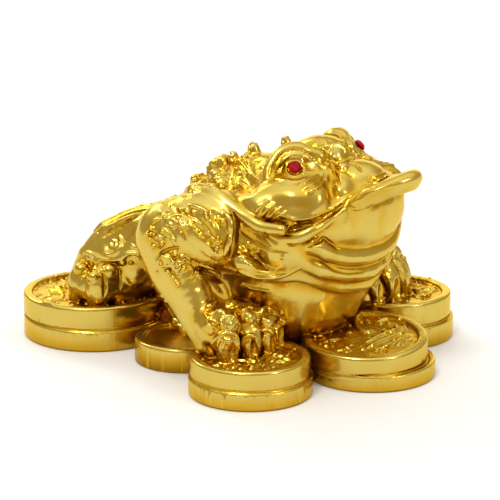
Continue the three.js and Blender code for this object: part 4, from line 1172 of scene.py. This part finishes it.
def gold_paint():
    material, tree, shader = new_material("gold_paint")
    # painted shade: the base colour runs from gold through amber to dark brown as the painted crease and
    # shelter shade grow
    painted_shelter_shade = add_math(tree, "MULTIPLY", skin_value(tree, "painted_shelter_shade"), 0.3)
    painted_shade = add_math(tree, "MULTIPLY_ADD", skin_value(tree, "painted_crease_shade"), 0.95, painted_shelter_shade)
    stops = ((0, (0.64, 0.48, 0.1, 1)), (0.35, (0.6, 0.36, 0.02, 1)), (0.85, (0.32, 0.15, 0.006, 1)))
    cloud = add_pattern(tree, "TexNoise", {"Scale": 160, "Detail": 4})
    rough = add_node(tree, "MapRange", {"Value": cloud.outputs["Fac"], "To Min": 0.15, "To Max": 0.3})
    grain = add_pattern(tree, "TexNoise", {"Scale": 1400, "Detail": 3})
    bump = add_node(tree, "Bump", {"Height": grain.outputs["Fac"], "Strength": 0.12, "Distance": 0.0002})
    plug(tree, shader, {
        "Base Color": add_ramp(tree, painted_shade, stops),
        "Metallic": 0.96,
        "Specular Tint": (1, 0.86, 0.48, 1),
        "Roughness": rough.outputs[0],
        "Coat Weight": 0.06,
        "Coat Roughness": 0.12,
        "Normal": bump.outputs[0],
    })
    return material


def red_stone():
    material, tree, shader = new_material("red_stone")
    # painted light in the stone: patches that vary at random from dark to bright red stand in for light
    # caught in the facets
    facets = add_pattern(tree, "TexVoronoi", {"Scale": 1100})
    stops = ((0, (0.1, 0.0, 0.002, 1)), (1, (0.58, 0.004, 0.01, 1)))
    plug(tree, shader, {
        "Base Color": add_ramp(tree, facets.outputs["Color"], stops),
        "Roughness": 0.06,
        "Specular IOR Level": 0.2,
    })
    return material


def floor_paint():
    material, tree, shader = new_material("pale_floor")
    plug(tree, shader, {
        "Base Color": (0.8, 0.8, 0.8, 1),
        "Roughness": 0.6,
        "Emission Color": (1, 1, 1, 1),
        "Emission Strength": 0.08,
    })
    return material


# Stones

def make_stone(side):
    """A round cut stone: table, crown facets in two rings, and a cone below."""
    rings = (
        (0.0, 0.8, 0), (0.95, 0.8, 0), (1.45, 0.45, 1),
        (STONE_RADIUS, 0.05, 0), (STONE_RADIUS, -0.2, 0), (0.3, -1.4, 0),
    )
    sides = 16
    points = [(0.0, 0.0, rings[0][1])]
    for radius, height, offset in rings[1:]:
        for i in range(sides):
            angle = 2 * math.pi * (i + 0.5 * offset) / sides
            points.append((radius * math.cos(angle), radius * math.sin(angle), height))
    faces = [(0, 1 + i, 1 + (i + 1) % sides) for i in range(sides)]
    for ring in range(len(rings) - 2):
        a, b = 1 + ring * sides, 1 + (ring + 1) * sides
        for i in range(sides):
            j = (i + 1) % sides
            faces.append((a + i, b + i, b + j))
            faces.append((a + i, b + j, a + j))
    faces.append(tuple(range(len(points) - 1, len(points) - 1 - sides, -1)))
    turn = Vector((0, 0, 1)).rotation_difference(Vector((side * EYE_OUT[0], EYE_OUT[1], EYE_OUT[2])))
    place = Vector(eye_point(side, STONE_FORWARD, STONE_UP, 0))
    placed = [tuple(turn @ Vector(point) + place) for point in points]
    return mesh_object("red_eye_stone_left" if side > 0 else "red_eye_stone_right", placed, faces)


# Casting

def model_clay():
    clay = Clay()
    make_body(clay)
    make_rear_leg(clay)
    make_head(clay)
    make_mouth(clay)
    make_throat(clay)
    make_arm(clay, -1, RIGHT_TOES)
    make_arm(clay, 1, LEFT_TOES)
    carve_back(clay)
    carve_head(clay)
    carve_throat(clay)
    carve_arm(clay)
    carve_leg(clay)
    carve_feet(clay)
    for side in (-1, 1):
        clay.cut(ball(eye_point(side, STONE_FORWARD, STONE_UP, 0.1), STONE_RADIUS + 0.3), 0.2)
    coins = make_coins()
    carve_coins(coins)
    clay.field = soft_min(clay.field, coins.field, 0.4)
    height = clay.axes[2][None, None, :]
    clay.field = np.maximum(clay.field, -height)
    return clay


def make_casting():
    clay = model_clay()
    points, faces = draw_skin(clay)
    piece = mesh_object("toad_casting", work_over(points, clay), faces)
    keep_largest(piece)
    thin(piece, SKIN_TRIANGLES)
    shade_hollows(piece, clay)
    piece.data.shade_smooth()
    return piece


# Studio

def in_frame(point):
    return Vector((point[0] - CENTRE_X, point[1], point[2])) * MM


def aim(thing, place, target):
    thing.location = place
    thing.rotation_euler = (target - place).to_track_quat("-Z", "Y").to_euler()


def make_camera():
    data = bpy.data.cameras.new("camera")
    data.sensor_width = 36
    data.lens = FOCAL_PIXELS * data.sensor_width / PICTURE
    data.clip_start = 0.01
    camera = new_object("camera", data)
    aim(camera, in_frame(CAMERA_PLACE), in_frame(TARGET))
    bpy.context.scene.camera = camera


def soft_light(name, place, size, power):
    data = bpy.data.lights.new(name, "AREA")
    data.shape = "RECTANGLE"
    data.size, data.size_y = size
    data.energy = power
    aim(new_object(name, data), Vector(place), Vector((0, 0, 0.03)))


def shade_sky(tree):
    """A room that is dim at the sides, with a broad pale light overhead."""
    place = add_node(tree, "TexCoord", {})
    split = add_node(tree, "SeparateXYZ", {0: place.outputs["Generated"]})
    stops = (
        (0, (0.34, 0.285, 0.19, 1)), (0.6, (0.36, 0.305, 0.2, 1)),
        (0.8, (0.66, 0.66, 0.66, 1)), (1, (0.85, 0.85, 0.85, 1)),
    )
    colour = add_ramp(tree, split.outputs["Z"], stops)
    plug(tree, tree.nodes["Background"], {"Color": colour, "Strength": 1.6})


def make_studio():
    bpy.ops.mesh.primitive_plane_add(size=6)
    floor = bpy.context.object
    floor.name = "floor"
    floor.data.materials.append(floor_paint())
    world = bpy.data.worlds.new("studio")
    bpy.context.scene.world = world
    world.use_nodes = True
    shade_sky(world.node_tree)
    bpy.context.scene.view_settings.view_transform = "Standard"
    soft_light("key", (-0.8, -0.1, 1.4), (0.4, 0.4), 9)
    soft_light("glint", (-0.1, -1.3, 0.8), (0.22, 0.22), 3.5)
    soft_light("back", (0.4, 1.2, 0.9), (0.6, 0.4), 4.5)
    soft_light("backdrop", (1.0, 0.7, 0.35), (1.3, 0.5), 2.2)


make_camera()
make_studio()

casting = make_casting()
casting.data.materials.append(gold_paint())
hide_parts("toad_on_coins")
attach(casting, "root")

stone_look = red_stone()
for side, node in ((-1, "eye_stone_right"), (1, "eye_stone_left")):
    stone = make_stone(side)
    stone.data.materials.append(stone_look)
    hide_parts(node)
    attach(stone, "root")
